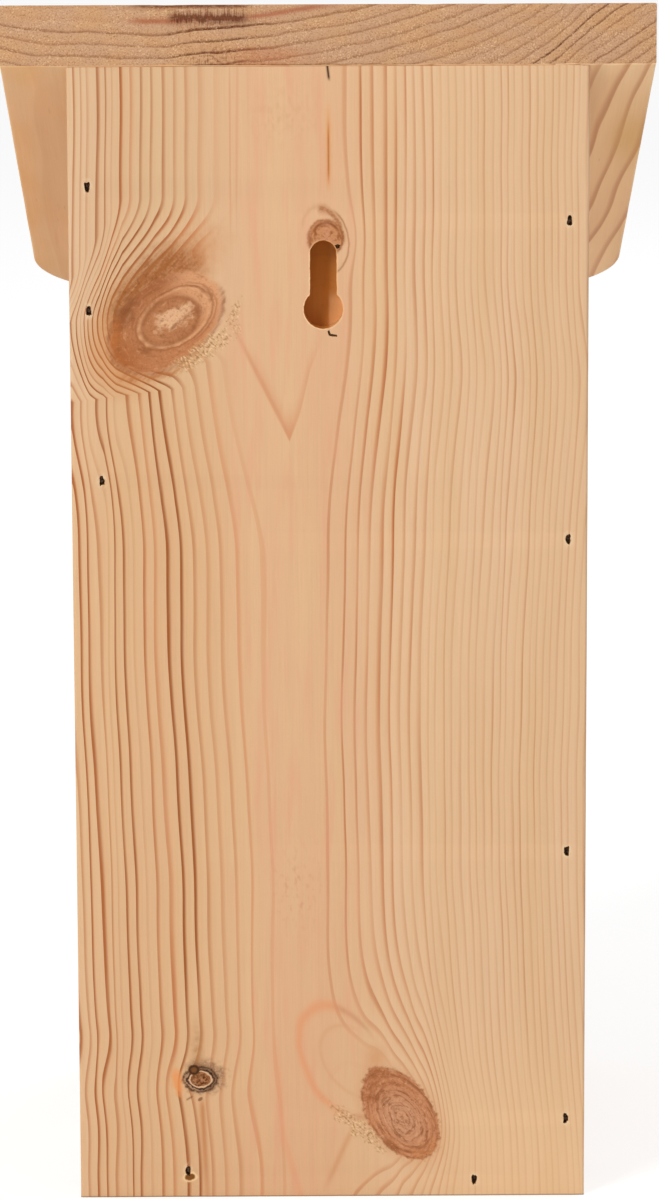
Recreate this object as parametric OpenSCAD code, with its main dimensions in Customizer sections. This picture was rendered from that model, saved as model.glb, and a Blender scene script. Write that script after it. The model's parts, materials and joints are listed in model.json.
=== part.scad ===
// Hanging birdhouse: a nest box of planed pine boards under a sloping roof board.
// The front, with the entrance hole, faces -Y. The back, with the keyhole hanger, faces +Y.
// The origin is on the ground, under the centre of the whole box and its roof.

/* [Body] */
// Width of the back panel and the front panel
body_w = 150; // [120:1:190]
// Depth over the back panel and the front panel
body_d = 150; // [120:1:190]
// Height of the back panel's rear face, up to the roof
back_h = 336; // [270:1:410]
// Thickness of the four wall boards
wall_t = 16; // [13:0.5:20]
// Thickness of the floor board
floor_t = 16; // [13:0.5:20]
// Eased edge of a planed board
arris = 1; // [0.4:0.1:1.5]

/* [Roof] */
// Overhang of the roof past each side of the body
side_overhang = 19; // [10:1:40]
// Overhang of the roof past the front panel, in plan
front_overhang = 36.5; // [20:0.5:60]
// Thickness of the roof board
roof_t = 16; // [13:0.5:20]
// Slope of the roof, in degrees
roof_pitch = 24.5; // [12:0.5:30]
// Radius of the roof's two front corners
roof_corner_r = 32; // [5:1:45]

/* [Entrance] */
// Diameter of the entrance hole
hole_d = 32; // [25:1:45]
// Distance from the front panel's top edge down to the centre of the hole
hole_drop = 66; // [35:1:90]

/* [Hanger] */
// Diameter of the keyhole's round mouth, which takes a screw's head
keyhole_d = 11.2; // [9:0.2:16]
// Width of the keyhole's slot, which takes the screw's shank
slot_w = 7.5; // [5:0.5:9]
// Distance from the round mouth's centre up to the centre of the slot's end
slot_rise = 16; // [12:1:24]
// Distance from the back panel's top edge down to the round mouth's centre
keyhole_drop = 70; // [45:1:90]
// Sideways place of the keyhole
keyhole_x = 1.6; // [-5:0.1:5]
// Depth of the keyhole, which stops short of the panel's inner face
keyhole_depth = 9; // [8:0.5:11]
// Thickness of the lip, either side of the slot, that holds the screw's head in
lip_t = 4; // [2.5:0.5:4.5]

/* [Floor] */
// Diameter of a drain hole
drain_d = 6; // [4:1:8]
// Distance from the walls to the centre of a drain hole
drain_inset = 20; // [12:1:30]

/* [Pins] */
// Width and thickness of a pin's shank
pin_w = 1.2; // [1:0.1:1.6]
// Long side of a pin's head
pin_head_w = 2.4; // [1.8:0.1:3]
// Thickness of a pin's head
pin_head_t = 0.6; // [0.4:0.1:1]
// Depth of a pin's head below the surface
pin_sink = 1.4; // [0.8:0.1:2]
// Length of a pin past the board that it holds
pin_bite = 14; // [8:1:18]
// Distance from a wall's edge to a pin
pin_inset = 5.6; // [5:0.1:7.5]

/* [Hidden] */
$fn = 96;
over = 1; // how far a cutting shape runs past the face that it cuts

// Heights and depths that follow from the sizes above.
roof_len = (body_d + front_overhang) / cos(roof_pitch);
roof_w = body_w + 2 * side_overhang;
box_depth = roof_len * cos(roof_pitch) + roof_t * sin(roof_pitch);
back_y = box_depth / 2;
front_y = back_y - body_d;
inner_w = body_w - 2 * wall_t;
inner_d = body_d - 2 * wall_t;
front_h = back_h - body_d * tan(roof_pitch);

// Places of the pins, each list measured from the edge that its pins stay near.
back_left_drops = [44.8, 137.6];   // below the back panel's top edge
back_left_rises = [105.3, 23.8];   // above its bottom edge
back_right_drops = [34.4, 70.3, 119.9];
back_right_shift = [0, 0, 3.2];    // how far each of these went in from the line
back_floor_insets = [32.8, 32];    // from the back panel's left and right edges
back_floor_rises = [5.1, 8.1];
front_drops = [26, 92];            // below the front panel's top edge
front_rises = [60, 12];            // above its bottom edge
front_floor_inset = 39;            // from the front panel's edges
side_floor_inset = 27;             // from the inner faces of the front and back panels
roof_back_insets = [27, 29];       // from the lines of the back panel's left and right edges
roof_front_insets = [31, 28];
roof_side_inset = 37;              // along the slope, from the inner faces of the two panels
roof_pin_lean = 5;                 // how far a roof pin enters behind a panel's front face

// The roof's own frame: local Y runs up the slope to the rear, local Z is square to the board.
module on_roof() {
    translate([0, back_y, back_h]) rotate([roof_pitch, 0, 0]) children();
}

// All the space above the roof board's underside.
module above_roof_line() {
    big = 2 * (body_d + back_h);
    on_roof() translate([-big / 2, -big, 0]) cube([big, 2 * big, big]);
}

// A board standing on end, its outline centred on the origin, with its four long edges eased.
module upright_board(width, thickness, height) {
    x = width / 2;
    y = thickness / 2;
    linear_extrude(height) polygon([
        [-x + arris, -y], [x - arris, -y], [x, -y + arris], [x, y - arris],
        [x - arris, y], [-x + arris, y], [-x, y - arris], [-x, -y + arris]
    ]);
}

// One pin, its head's top at the origin's height less the sink, driven along -Z.
// grip is the thickness of the board that it holds; the head's long side lies along Y.
module pin(grip) {
    shank = grip + pin_bite - pin_sink - pin_head_t;
    translate([-pin_w / 2, -pin_head_w / 2, -pin_sink - pin_head_t])
        cube([pin_w, pin_head_w, pin_head_t]);
    translate([-pin_w / 2, -pin_w / 2, -pin_sink - pin_head_t - shank])
        cube([pin_w, pin_w, shank]);
}

// The space that a driven pin takes: itself and the slot that its head left behind it.
module pin_space(grip) {
    pin(grip);
    translate([-pin_w / 2, -pin_head_w / 2, -pin_sink])
        cube([pin_w, pin_head_w, pin_sink + over]);
}

// The sideways place of pin i, 0 on the left and 1 on the right, from its inset in the list.
function inset_x(i, insets) = (i == 0 ? -1 : 1) * (body_w / 2 - insets[i]);

// Draws a pin, or the space that it takes.
module pin_or_space(grip, space) {
    if (space) pin_space(grip);
    else pin(grip);
}

// Pins driven forwards through the back panel. A pin's head stands upright here.
module back_pin(x, z, space) {
    translate([x, back_y, z]) rotate([-90, 0, 0]) pin_or_space(wall_t, space);
}

module back_left_pins(space = false) {
    x = -body_w / 2 + pin_inset;
    for (drop = back_left_drops) back_pin(x, back_h - drop, space);
    for (rise = back_left_rises) back_pin(x, rise, space);
}

module back_right_pins(space = false) {
    for (i = [0 : len(back_right_drops) - 1])
        back_pin(
            body_w / 2 - pin_inset - back_right_shift[i],
            back_h - back_right_drops[i],
            space
        );
}

module back_floor_pins(space = false) {
    for (i = [0 : 1]) back_pin(inset_x(i, back_floor_insets), back_floor_rises[i], space);
}

// Pins driven backwards through the front panel.
module front_pin(x, z, space) {
    translate([x, front_y, z]) rotate([90, 0, 0]) pin_or_space(wall_t, space);
}

module front_side_pins(side, space) {
    x = side * (body_w / 2 - pin_inset);
    for (drop = front_drops) front_pin(x, front_h - drop, space);
    for (rise = front_rises) front_pin(x, rise, space);
}

module front_left_pins(space = false) front_side_pins(-1, space);

module front_right_pins(space = false) front_side_pins(1, space);

module front_floor_pins(space = false) {
    for (side = [-1, 1]) front_pin(side * (body_w / 2 - front_floor_inset), floor_t / 2, space);
}

// Pins driven inwards through a side board into the floor's edge.
module side_floor_pins(side, space) {
    middle_y = back_y - body_d / 2;
    for (along = [-1, 1])
        translate([
            side * body_w / 2,
            middle_y + along * (inner_d / 2 - side_floor_inset),
            floor_t / 2
        ])
            rotate([0, 90 * side, 0]) pin_or_space(wall_t, space);
}

module left_floor_pins(space = false) side_floor_pins(-1, space);

module right_floor_pins(space = false) side_floor_pins(1, space);

// Pins driven square through the roof board. run is measured down the slope from its rear edge.
module roof_pin(x, run, space) {
    on_roof() translate([x, -run, roof_t]) pin_or_space(roof_t, space);
}

module roof_back_pins(space = false) {
    run = (wall_t - roof_pin_lean) / cos(roof_pitch);
    for (i = [0 : 1]) roof_pin(inset_x(i, roof_back_insets), run, space);
    roof_pin(0, run, space);
}

module roof_front_pins(space = false) {
    run = (body_d - roof_pin_lean) / cos(roof_pitch);
    for (i = [0 : 1]) roof_pin(inset_x(i, roof_front_insets), run, space);
}

module roof_side_pins(side, space) {
    rear_run = wall_t / cos(roof_pitch) + roof_side_inset;
    front_run = (body_d - wall_t) / cos(roof_pitch) - roof_side_inset;
    for (run = [rear_run, front_run]) roof_pin(side * (body_w - wall_t) / 2, run, space);
}

module roof_left_pins(space = false) roof_side_pins(-1, space);

module roof_right_pins(space = false) roof_side_pins(1, space);

// A track of the given width that rises from the keyhole's mouth and ends round.
module rising_track(width) {
    translate([-width / 2, 0]) square([width, slot_rise]);
    translate([0, slot_rise]) circle(d = width);
}

// The keyhole, routed into the rear face: a round mouth, a slot rising from it,
// and behind the slot's lip a wider track in which the screw's head slides.
module keyhole() {
    translate([keyhole_x, back_y, back_h - keyhole_drop]) rotate([90, 0, 0]) {
        translate([0, 0, -over]) linear_extrude(lip_t + 2 * over) rising_track(slot_w);
        translate([0, 0, -over]) linear_extrude(keyhole_depth + over) circle(d = keyhole_d);
        translate([0, 0, lip_t]) linear_extrude(keyhole_depth - lip_t) rising_track(keyhole_d);
    }
}

module back_panel() {
    color("burlywood") difference() {
        translate([0, back_y - wall_t / 2, 0]) upright_board(body_w, wall_t, back_h);
        above_roof_line();
        keyhole();
        back_left_pins(true);
        back_right_pins(true);
        back_floor_pins(true);
        roof_back_pins(true);
    }
}

module front_panel() {
    color("burlywood") difference() {
        translate([0, front_y + wall_t / 2, 0]) upright_board(body_w, wall_t, back_h);
        above_roof_line();
        translate([0, front_y - over, front_h - hole_drop]) rotate([-90, 0, 0])
            cylinder(d = hole_d, h = wall_t + 2 * over);
        front_left_pins(true);
        front_right_pins(true);
        front_floor_pins(true);
        roof_front_pins(true);
    }
}

module side_board(side) {
    color("wheat") difference() {
        translate([side * (body_w - wall_t) / 2, back_y - body_d / 2, 0])
            rotate([0, 0, 90]) upright_board(inner_d, wall_t, back_h);
        above_roof_line();
        if (side < 0) {
            back_left_pins(true);
            front_left_pins(true);
            left_floor_pins(true);
            roof_left_pins(true);
        } else {
            back_right_pins(true);
            front_right_pins(true);
            right_floor_pins(true);
            roof_right_pins(true);
        }
    }
}

module left_side() side_board(-1);

module right_side() side_board(1);

module floor_board() {
    color("wheat") difference() {
        translate([-inner_w / 2, back_y - wall_t - inner_d, 0]) cube([inner_w, inner_d, floor_t]);
        for (sx = [-1, 1], sy = [-1, 1])
            translate([
                sx * (inner_w / 2 - drain_inset),
                back_y - body_d / 2 + sy * (inner_d / 2 - drain_inset),
                -over
            ]) cylinder(d = drain_d, h = floor_t + 2 * over);
        back_floor_pins(true);
        front_floor_pins(true);
        left_floor_pins(true);
        right_floor_pins(true);
    }
}

// The square corner that a rounded front corner leaves off, in the roof's plan.
module corner_waste() {
    difference() {
        translate([-over, -over]) square(roof_corner_r + over);
        translate([roof_corner_r, roof_corner_r]) circle(r = roof_corner_r);
    }
}

module roof_board() {
    rear_reach = roof_t * tan(roof_pitch);
    color("tan") difference() {
        on_roof() linear_extrude(roof_t) difference() {
            translate([-roof_w / 2, -roof_len]) square([roof_w, roof_len + rear_reach]);
            for (side = [0, 1]) mirror([side, 0])
                translate([-roof_w / 2, -roof_len]) corner_waste();
        }
        translate([-roof_w, back_y, 0]) cube([2 * roof_w, 2 * roof_t, 2 * back_h]);
        roof_back_pins(true);
        roof_left_pins(true);
        roof_right_pins(true);
        roof_front_pins(true);
    }
}

back_panel();
front_panel();
left_side();
right_side();
floor_board();
roof_board();
color("dimgray") back_left_pins();
color("dimgray") back_right_pins();
color("dimgray") back_floor_pins();
color("dimgray") front_left_pins();
color("dimgray") front_right_pins();
color("dimgray") front_floor_pins();
color("dimgray") left_floor_pins();
color("dimgray") right_floor_pins();
color("dimgray") roof_back_pins();
color("dimgray") roof_left_pins();
color("dimgray") roof_right_pins();
color("dimgray") roof_front_pins();
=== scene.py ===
import json
import math
import random

import bpy
import bmesh
from mathutils import Matrix, Vector, noise
from mathutils.geometry import tessellate_polygon


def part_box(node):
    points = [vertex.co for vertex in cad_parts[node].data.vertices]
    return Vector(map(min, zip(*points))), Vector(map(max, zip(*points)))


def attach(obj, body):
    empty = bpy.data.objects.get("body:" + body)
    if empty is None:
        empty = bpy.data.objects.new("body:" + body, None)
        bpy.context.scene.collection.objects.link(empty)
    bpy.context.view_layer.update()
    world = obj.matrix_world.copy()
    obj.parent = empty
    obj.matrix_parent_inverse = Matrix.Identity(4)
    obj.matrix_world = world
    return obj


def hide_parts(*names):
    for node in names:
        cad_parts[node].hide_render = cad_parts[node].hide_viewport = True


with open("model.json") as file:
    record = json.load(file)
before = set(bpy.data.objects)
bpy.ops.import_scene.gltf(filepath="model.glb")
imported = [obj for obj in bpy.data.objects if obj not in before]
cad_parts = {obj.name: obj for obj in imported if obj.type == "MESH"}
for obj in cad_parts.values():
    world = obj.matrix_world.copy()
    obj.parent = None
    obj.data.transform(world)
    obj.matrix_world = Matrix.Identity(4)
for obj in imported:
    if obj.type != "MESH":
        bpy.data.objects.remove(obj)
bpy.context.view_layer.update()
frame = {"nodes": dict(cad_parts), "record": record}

MM = 0.001
scene = bpy.context.scene
mounts = {m["name"]: m for m in frame["record"]["mounts"]}


# ---------------------------------------------------------------- sizes, in millimetres

def box_mm(node):
    low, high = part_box(node)
    return low / MM, high / MM


back_low, back_high = box_mm("back_panel")
front_low, front_high = box_mm("front_panel")
floor_low, floor_high = box_mm("floor_board")
left_low, left_high = box_mm("left_side")
right_high = box_mm("right_side")[1]
roof_low, roof_high = box_mm("roof_board")

WALL = back_high.y - back_low.y
BACK_Y = back_high.y
BACK_H = back_high.z
FRONT_Y = front_low.y
BODY_W = back_high.x - back_low.x
SLOPE = (back_high.z - front_high.z) / (back_high.y - front_high.y)
PITCH = math.atan(SLOPE)
FRONT_H = front_high.z - WALL * SLOPE
ROOF_T = (roof_high.z - BACK_H) * math.cos(PITCH)
ROOF_W = roof_high.x - roof_low.x
ROOF_L = (BACK_Y - roof_low.y - ROOF_T * math.sin(PITCH)) / math.cos(PITCH)
ROOF_CORNER_R = 32
MIDDLE_Y = (left_low.y + left_high.y) / 2
SIDE_W = left_high.y - left_low.y

mouth = Vector(mounts["keyhole_mouth"]["pos_m"]) / MM
MOUTH_R = mounts["keyhole_mouth"]["dims"]["r_mm"]
LIP_T = 4
SLOT_W = 7.5
SLOT_RISE = mounts["hang_point"]["pos_m"][2] / MM - SLOT_W / 2 - mouth.z
KEYHOLE_DEPTH = 9
TRACK_R = MOUTH_R + 0.25
entrance = Vector(mounts["entrance_hole"]["pos_m"]) / MM
ENTRANCE_R = mounts["entrance_hole"]["dims"]["r_mm"]
DRAIN_R = 3
DRAIN_INSET = 20

HEAD_L, HEAD_W, HEAD_T, SINK, SHANK_W, BITE = 2.4, 1.2, 0.6, 1.4, 1.2, 14
SHANK_L = WALL + BITE - SINK - HEAD_T

POINT_GAP = 3        # between the points along a board's edges
WORN_EDGE = 0.9      # rounding of a planed board's long edges
CRISP_EDGE = 0.3     # rounding of its sawn ends
SHARP_ANGLE = 28     # degrees between faces that still read as one smooth surface


# ---------------------------------------------------------------- boards and their own axes

class Board:
    """Where a board lies: u runs across it, v along its grain, and w down into it from its outer face."""

    def __init__(self, origin, u_way, v_way):
        self.origin = Vector(origin)
        self.u_way = Vector(u_way)
        self.v_way = Vector(v_way)
        self.w_way = self.v_way.cross(self.u_way)

    def at(self, u, v, w):
        return (self.origin + self.u_way * u + self.v_way * v + self.w_way * w) * MM

    def of(self, point):
        step = Vector(point) - self.origin
        return step.dot(self.u_way), step.dot(self.v_way), step.dot(self.w_way)


back = Board((0, BACK_Y, 0), (-1, 0, 0), (0, 0, 1))
front = Board((0, FRONT_Y, 0), (1, 0, 0), (0, 0, 1))
left = Board((left_low.x, MIDDLE_Y, 0), (0, -1, 0), (0, 0, 1))
right = Board((right_high.x, MIDDLE_Y, 0), (0, 1, 0), (0, 0, 1))
bottom = Board((0, MIDDLE_Y, 0), (1, 0, 0), (0, -1, 0))
up_slope = Vector((0, math.cos(PITCH), math.sin(PITCH)))
off_roof = Vector((0, -math.sin(PITCH), math.cos(PITCH)))
roof = Board(Vector((0, BACK_Y, BACK_H)) + off_roof * ROOF_T, (1, 0, 0), up_slope)


# ---------------------------------------------------------------- outlines

def straight(a, b, step):
    """Points from a towards b, about a step apart, without b itself."""
    n = max(1, round(math.dist(a, b) / step))
    return [(a[0] + (b[0] - a[0]) * k / n, a[1] + (b[1] - a[1]) * k / n) for k in range(n)]


def along(points, step):
    """The closed outline through these corners, with points added so that none are far apart."""
    full = []
    for a, b in zip(points, points[1:] + points[:1]):
        full += straight(a, b, step)
    return full


def board_outline(half, low, left_top, right_top):
    """A board's outline from its two bottom corners up to its top, which may slope."""
    return along([(-half, low), (half, low), (half, right_top), (-half, left_top)], POINT_GAP)


def arc(cx, cy, r, start, end, n):
    """Points on an arc, angles in degrees, both ends included."""
    turns = [math.radians(start + (end - start) * k / n) for k in range(n + 1)]
    return [(cx + r * math.cos(a), cy + r * math.sin(a)) for a in turns]


def hole_outline(cx, cy, r, n):
    """A round hole's outline. It runs the other way round from a board's own."""
    return arc(cx, cy, r, 0, 360, n)[:-1][::-1]


def uneven(points, amount, grain, seed):
    """The outline with a small unsteady wander, as a blade or bit leaves it."""
    moved = []
    for u, v in points:
        here = Vector((u * grain, v * grain, seed))
        moved.append((u + amount * noise.noise(here), v + amount * noise.noise(here + Vector((9, 9, 9)))))
    return moved


def inset(points, depths):
    """The outline moved into the wood on its left. depths gives the move of the edge after each point."""
    moved = []
    n = len(points)
    for i, p in enumerate(points):
        before, after = points[i - 1], points[(i + 1) % n]
        a = Vector((p[0] - before[0], p[1] - before[1])).normalized()
        b = Vector((after[0] - p[0], after[1] - p[1])).normalized()
        na, nb = Vector((-a.y, a.x)), Vector((-b.y, b.x))
        da, db = depths[i - 1], depths[i]
        cross = na.x * nb.y - na.y * nb.x
        nearly_straight = abs(cross) < 0.2
        if nearly_straight:
            way = (na + nb).normalized()
            moved.append((p[0] + way.x * (da + db) / 2, p[1] + way.y * (da + db) / 2))
        else:
            x = (da * nb.y - db * na.y) / cross
            y = (na.x * db - nb.x * da) / cross
            moved.append((p[0] + x, p[1] + y))
    return moved


def middles(points):
    return [((a[0] + b[0]) / 2, (a[1] + b[1]) / 2) for a, b in zip(points, points[1:] + points[:1])]


# ---------------------------------------------------------------- wooden pieces

WOOD, END, CRUSHED, ROUTED = 0, 1, 2, 3    # places in each board's list of materials
MERGE = 1e-7                               # metres between points that are one


class Shell:
    """The points and faces of one board, on the board's own axes in millimetres."""

    def __init__(self):
        self.points = []
        self.faces = []
        self.finish = []
        self.flat = []

    def ring(self, outline, depths):
        """Adds an outline's points, at one depth or at a depth for each. Returns their numbers."""
        start = len(self.points)
        if not isinstance(depths, list):
            depths = [depths] * len(outline)
        self.points += [(u, v, w) for (u, v), w in zip(outline, depths)]
        return list(range(start, len(self.points)))

    def band(self, a, b, finish=WOOD):
        """Joins two rings of as many points by a strip of faces."""
        n = len(a)
        for i in range(n):
            j = (i + 1) % n
            self.faces.append((a[i], a[j], b[j], b[i]))
            self.finish.append(finish)
            self.flat.append(False)

    def cover(self, rings, finish=WOOD):
        """Closes the area between an outer ring and the rings inside it, with flat triangles."""
        loops = [[Vector(self.points[k]) for k in ring] for ring in rings]
        names = [k for ring in rings for k in ring]
        for tri in tessellate_polygon([[Vector((p.x, p.y, 0)) for p in loop] for loop in loops]):
            self.faces.append(tuple(names[k] for k in tri))
            self.finish.append(finish)
            self.flat.append(True)

    def eased_wall(self, outline, ease, thickness, steps=4):
        """A wall right through the board with both its edges rounded. Returns its two end rings."""
        radii = [ease(u, v) for u, v in middles(outline)]
        rings = []
        for k in range(steps + 1):
            a = math.radians(90 * k / steps)
            line = inset(outline, [r * (1 - math.sin(a)) for r in radii])
            w = [(radii[i - 1] + radii[i]) / 2 * (1 - math.cos(a)) for i in range(len(outline))]
            rings.append((line, w))
        made = [self.ring(line, w) for line, w in rings]
        made += [self.ring(line, [thickness - d for d in w]) for line, w in reversed(rings)]
        for a, b in zip(made, made[1:]):
            self.band(a, b)
        return made[0], made[-1]

    def pit(self, levels, finish, rim):
        """A blind hole from the outer face, its rim bevelled. levels lists (outline, depth reached)."""
        top, last, reached = None, None, 0
        for k, (outline, end) in enumerate(levels):
            if k == 0:
                top = self.ring(inset(outline, [rim] * len(outline)), 0)
                start = self.ring(outline, rim)
                self.band(top, start, finish)
            else:
                start = self.ring(outline, reached)
                self.cover([start, last], finish)
            last = self.ring(outline, end)
            self.band(start, last, finish)
            reached = end
        self.cover([last], finish)
        return top

    def mesh(self, name, board, lean=None):
        """The mesh in its place. lean moves a point along the grain, where an end is cut on the slope."""
        data = bpy.data.meshes.new(name)
        placed = []
        for u, v, w in self.points:
            placed.append(board.at(u, v + (lean(v, w) if lean else 0), w))
        data.from_pydata(placed, [], self.faces)
        work = bmesh.new()
        work.from_mesh(data)
        work.faces.ensure_lookup_table()
        for face, finish, flat in zip(work.faces, self.finish, self.flat):
            face.material_index = finish
            face.smooth = not flat
        bmesh.ops.remove_doubles(work, verts=work.verts, dist=MERGE)
        bmesh.ops.recalc_face_normals(work, faces=work.faces)
        for face in work.faces:
            across_grain = abs(face.normal.dot(board.v_way)) > 0.75
            if face.material_index == WOOD and across_grain:
                face.material_index = END
        work.to_mesh(data)
        work.free()
        data.set_sharp_from_angle(angle=math.radians(SHARP_ANGLE))
        return data


def show(name, data, materials, node):
    """Puts a finished piece in the scene in place of its solid."""
    piece = bpy.data.objects.new(name, data)
    scene.collection.objects.link(piece)
    for material in materials:
        data.materials.append(material)
    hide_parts(node)
    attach(piece, "root")
    return piece


# ---------------------------------------------------------------- pins: places from the frame

def nearly(point):
    """A point to a hundredth of a millimetre, to sort by."""
    return tuple(round(c, 2) for c in point)


def separate_solids(node):
    """The corner points of each separate solid in a node, in millimetres and always in the same order."""
    work = bmesh.new()
    work.from_mesh(frame["nodes"][node].data)
    bmesh.ops.remove_doubles(work, verts=work.verts, dist=1e-6)
    left_over = set(work.verts)
    solids = []
    while left_over:
        reach = [left_over.pop()]
        solid = []
        while reach:
            corner = reach.pop()
            solid.append(corner.co / MM)
            for edge in corner.link_edges:
                other = edge.other_vert(corner)
                if other in left_over:
                    left_over.remove(other)
                    reach.append(other)
        solids.append(sorted(solid, key=nearly))
    work.free()
    return sorted(solids, key=lambda solid: [nearly(p) for p in solid])


def heads(node, board):
    """The middle of each pin's head, on the board's own axes."""
    found = []
    for solid in separate_solids(node):
        local = [Vector(board.of(p)) for p in solid]
        top = min(p.z for p in local)
        face = [p for p in local if p.z < top + 0.05]
        found.append(sum(face, Vector()) / len(face))
    return found


# The board that each row of pins is driven into.
PINS = {
    "back_left_pins": back, "back_right_pins": back, "back_floor_pins": back,
    "front_left_pins": front, "front_right_pins": front, "front_floor_pins": front,
    "left_floor_pins": left, "right_floor_pins": right,
    "roof_back_pins": roof, "roof_left_pins": roof, "roof_right_pins": roof, "roof_front_pins": roof,
}
head_places = {node: heads(node, board) for node, board in PINS.items()}


def rows_in(board):
    return [node for node, its_board in PINS.items() if its_board is board]


def pin_pits(shell, board, seed):
    """The torn slot that each pin's head leaves in the outer face. Returns the rims."""
    rims = []
    corners = 22
    pick = random.Random(seed)
    for node in rows_in(board):
        for head in head_places[node]:
            outline = []
            start = pick.uniform(0, 6)
            for a in range(corners):
                turn = 2 * math.pi * a / corners
                c, s = math.cos(turn), math.sin(turn)
                reach = 1.08 + 0.16 * math.sin(3 * turn + start) + pick.uniform(-0.12, 0.16)
                u = (HEAD_W / 2) * math.copysign(abs(c) ** 0.6, c) * reach
                v = (HEAD_L / 2) * math.copysign(abs(s) ** 0.75, s) * reach
                outline.append((head.x + u, head.y + v))
            outline.reverse()
            rims.append(shell.pit([(outline, SINK + HEAD_T)], CRUSHED, 0.1))
    return rims


# ---------------------------------------------------------------- the boards

def board_edges(half, top, seed):
    """The rounding of a board's edges: worn along its length, crisp across its sawn ends."""
    def ease(u, v):
        wear = 1 + 0.35 * noise.noise(Vector((u * 0.02, v * 0.09, seed)))
        wear += 0.5 * max(0, noise.noise(Vector((u * 0.02, v * 0.3, seed + 5))) - 0.35)
        if abs(abs(u) - half) < 0.6 and 0.5 < v < top - 0.5:
            return WORN_EDGE * wear
        return CRISP_EDGE * (1 + 0.5 * noise.noise(Vector((u * 0.25, v * 0.1, seed + 2))))
    return ease


def sloped_end(top, way):
    """Cuts a board's top end on the roof's slope, by moving the points near it along the grain."""
    start, reach = top - 14, 12

    def lean(v, w):
        return way * w * SLOPE * min(1, max(0, (v - start) / reach))
    return lean


def back_panel_mesh():
    half, top = BODY_W / 2, BACK_H
    shell = Shell()
    outline = board_outline(half, 0, top, top)
    outer, inner = shell.eased_wall(outline, board_edges(half, top, 1), WALL)
    u, v, _ = back.of(mouth)
    swing = math.degrees(math.asin(SLOT_W / 2 / MOUTH_R))
    mouth_arc = arc(u, v, MOUTH_R, 90 + swing, 450 - swing, 48)
    top_arc = arc(u, v + SLOT_RISE, SLOT_W / 2, 0, 180, 24)
    slot = mouth_arc[:-1] + straight(mouth_arc[-1], top_arc[0], 0.6) + top_arc[:-1]
    slot += straight(top_arc[-1], mouth_arc[0], 0.6)
    slot = uneven(slot, 0.16, 1.1, 3)
    slot.reverse()
    track = arc(u, v, TRACK_R, 180, 360, 28) + arc(u, v + SLOT_RISE, TRACK_R, 0, 180, 28)
    track.reverse()
    hanger = shell.pit([(slot, LIP_T), (track, KEYHOLE_DEPTH)], ROUTED, 0.15)
    rims = pin_pits(shell, back, 4)
    for outline, deep in back_marks():
        rims.append(shell.pit([(outline, deep)], CRUSHED, 0.05))
    shell.cover([outer, hanger] + rims)
    shell.cover([inner])
    return shell.mesh("back_panel_wood", back, sloped_end(top, -1))


def back_marks():
    """Small breaks in the back panel's face: a torn corner under the keyhole and a bark pit above it."""
    u, v, _ = back.of(mouth)
    corner = [(1.6, -6.1), (2.0, -7.2), (3.8, -7.5), (3.9, -8.0), (2.3, -7.9), (1.5, -7.6), (1.2, -6.5)]
    corner = [(u + a, v + b) for a, b in corner]
    bark = [(3.2, 18.4), (4.2, 18.9), (5.0, 18.5), (4.7, 17.6), (3.9, 17.3)]
    bark = along([(u + a, v + b) for a, b in bark], 0.4)
    return [(corner, 0.8), (uneven(bark, 0.1, 2, 1)[::-1], 1.1)]


def front_panel_mesh():
    half, top = BODY_W / 2, FRONT_H
    shell = Shell()
    outline = board_outline(half, 0, top, top)
    outer, inner = shell.eased_wall(outline, board_edges(half, top, 11), WALL)
    u, v, _ = front.of(entrance)
    hole = hole_outline(u, v, ENTRANCE_R, 120)

    def ease(a, b):
        return 0.7 + 0.3 * noise.noise(Vector((a * 0.3, b * 0.3, 7)))
    hole_outer, hole_inner = shell.eased_wall(hole, ease, WALL)
    rims = pin_pits(shell, front, 14)
    shell.cover([outer, hole_outer] + rims)
    shell.cover([inner, hole_inner])
    return shell.mesh("front_panel_wood", front, sloped_end(top, 1))


def side_mesh(name, board, seed):
    """A side board, whose top slopes up towards the rear."""
    half = SIDE_W / 2
    high, low = BACK_H - WALL * SLOPE, FRONT_H + WALL * SLOPE
    rear_is_right = board.u_way.y > 0
    tops = (low, high) if rear_is_right else (high, low)
    shell = Shell()
    outline = board_outline(half, 0, tops[0], tops[1])
    outer, inner = shell.eased_wall(outline, board_edges(half, low, seed), WALL)
    rims = pin_pits(shell, board, seed + 1)
    shell.cover([outer] + rims)
    shell.cover([inner])
    return shell.mesh(name, board)


def floor_mesh():
    half, deep = (floor_high.x - floor_low.x) / 2, (floor_high.y - floor_low.y) / 2
    shell = Shell()
    outline = board_outline(half, -deep, deep, deep)
    walls = [shell.eased_wall(outline, lambda u, v: CRISP_EDGE, floor_high.z)]
    for a in (-1, 1):
        for b in (-1, 1):
            drain = hole_outline(a * (half - DRAIN_INSET), b * (deep - DRAIN_INSET), DRAIN_R, 36)
            walls.append(shell.eased_wall(drain, lambda u, v: 0.25, floor_high.z))
    for rings in zip(*walls):
        shell.cover(rings)
    return shell.mesh("floor_wood", bottom)


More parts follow.
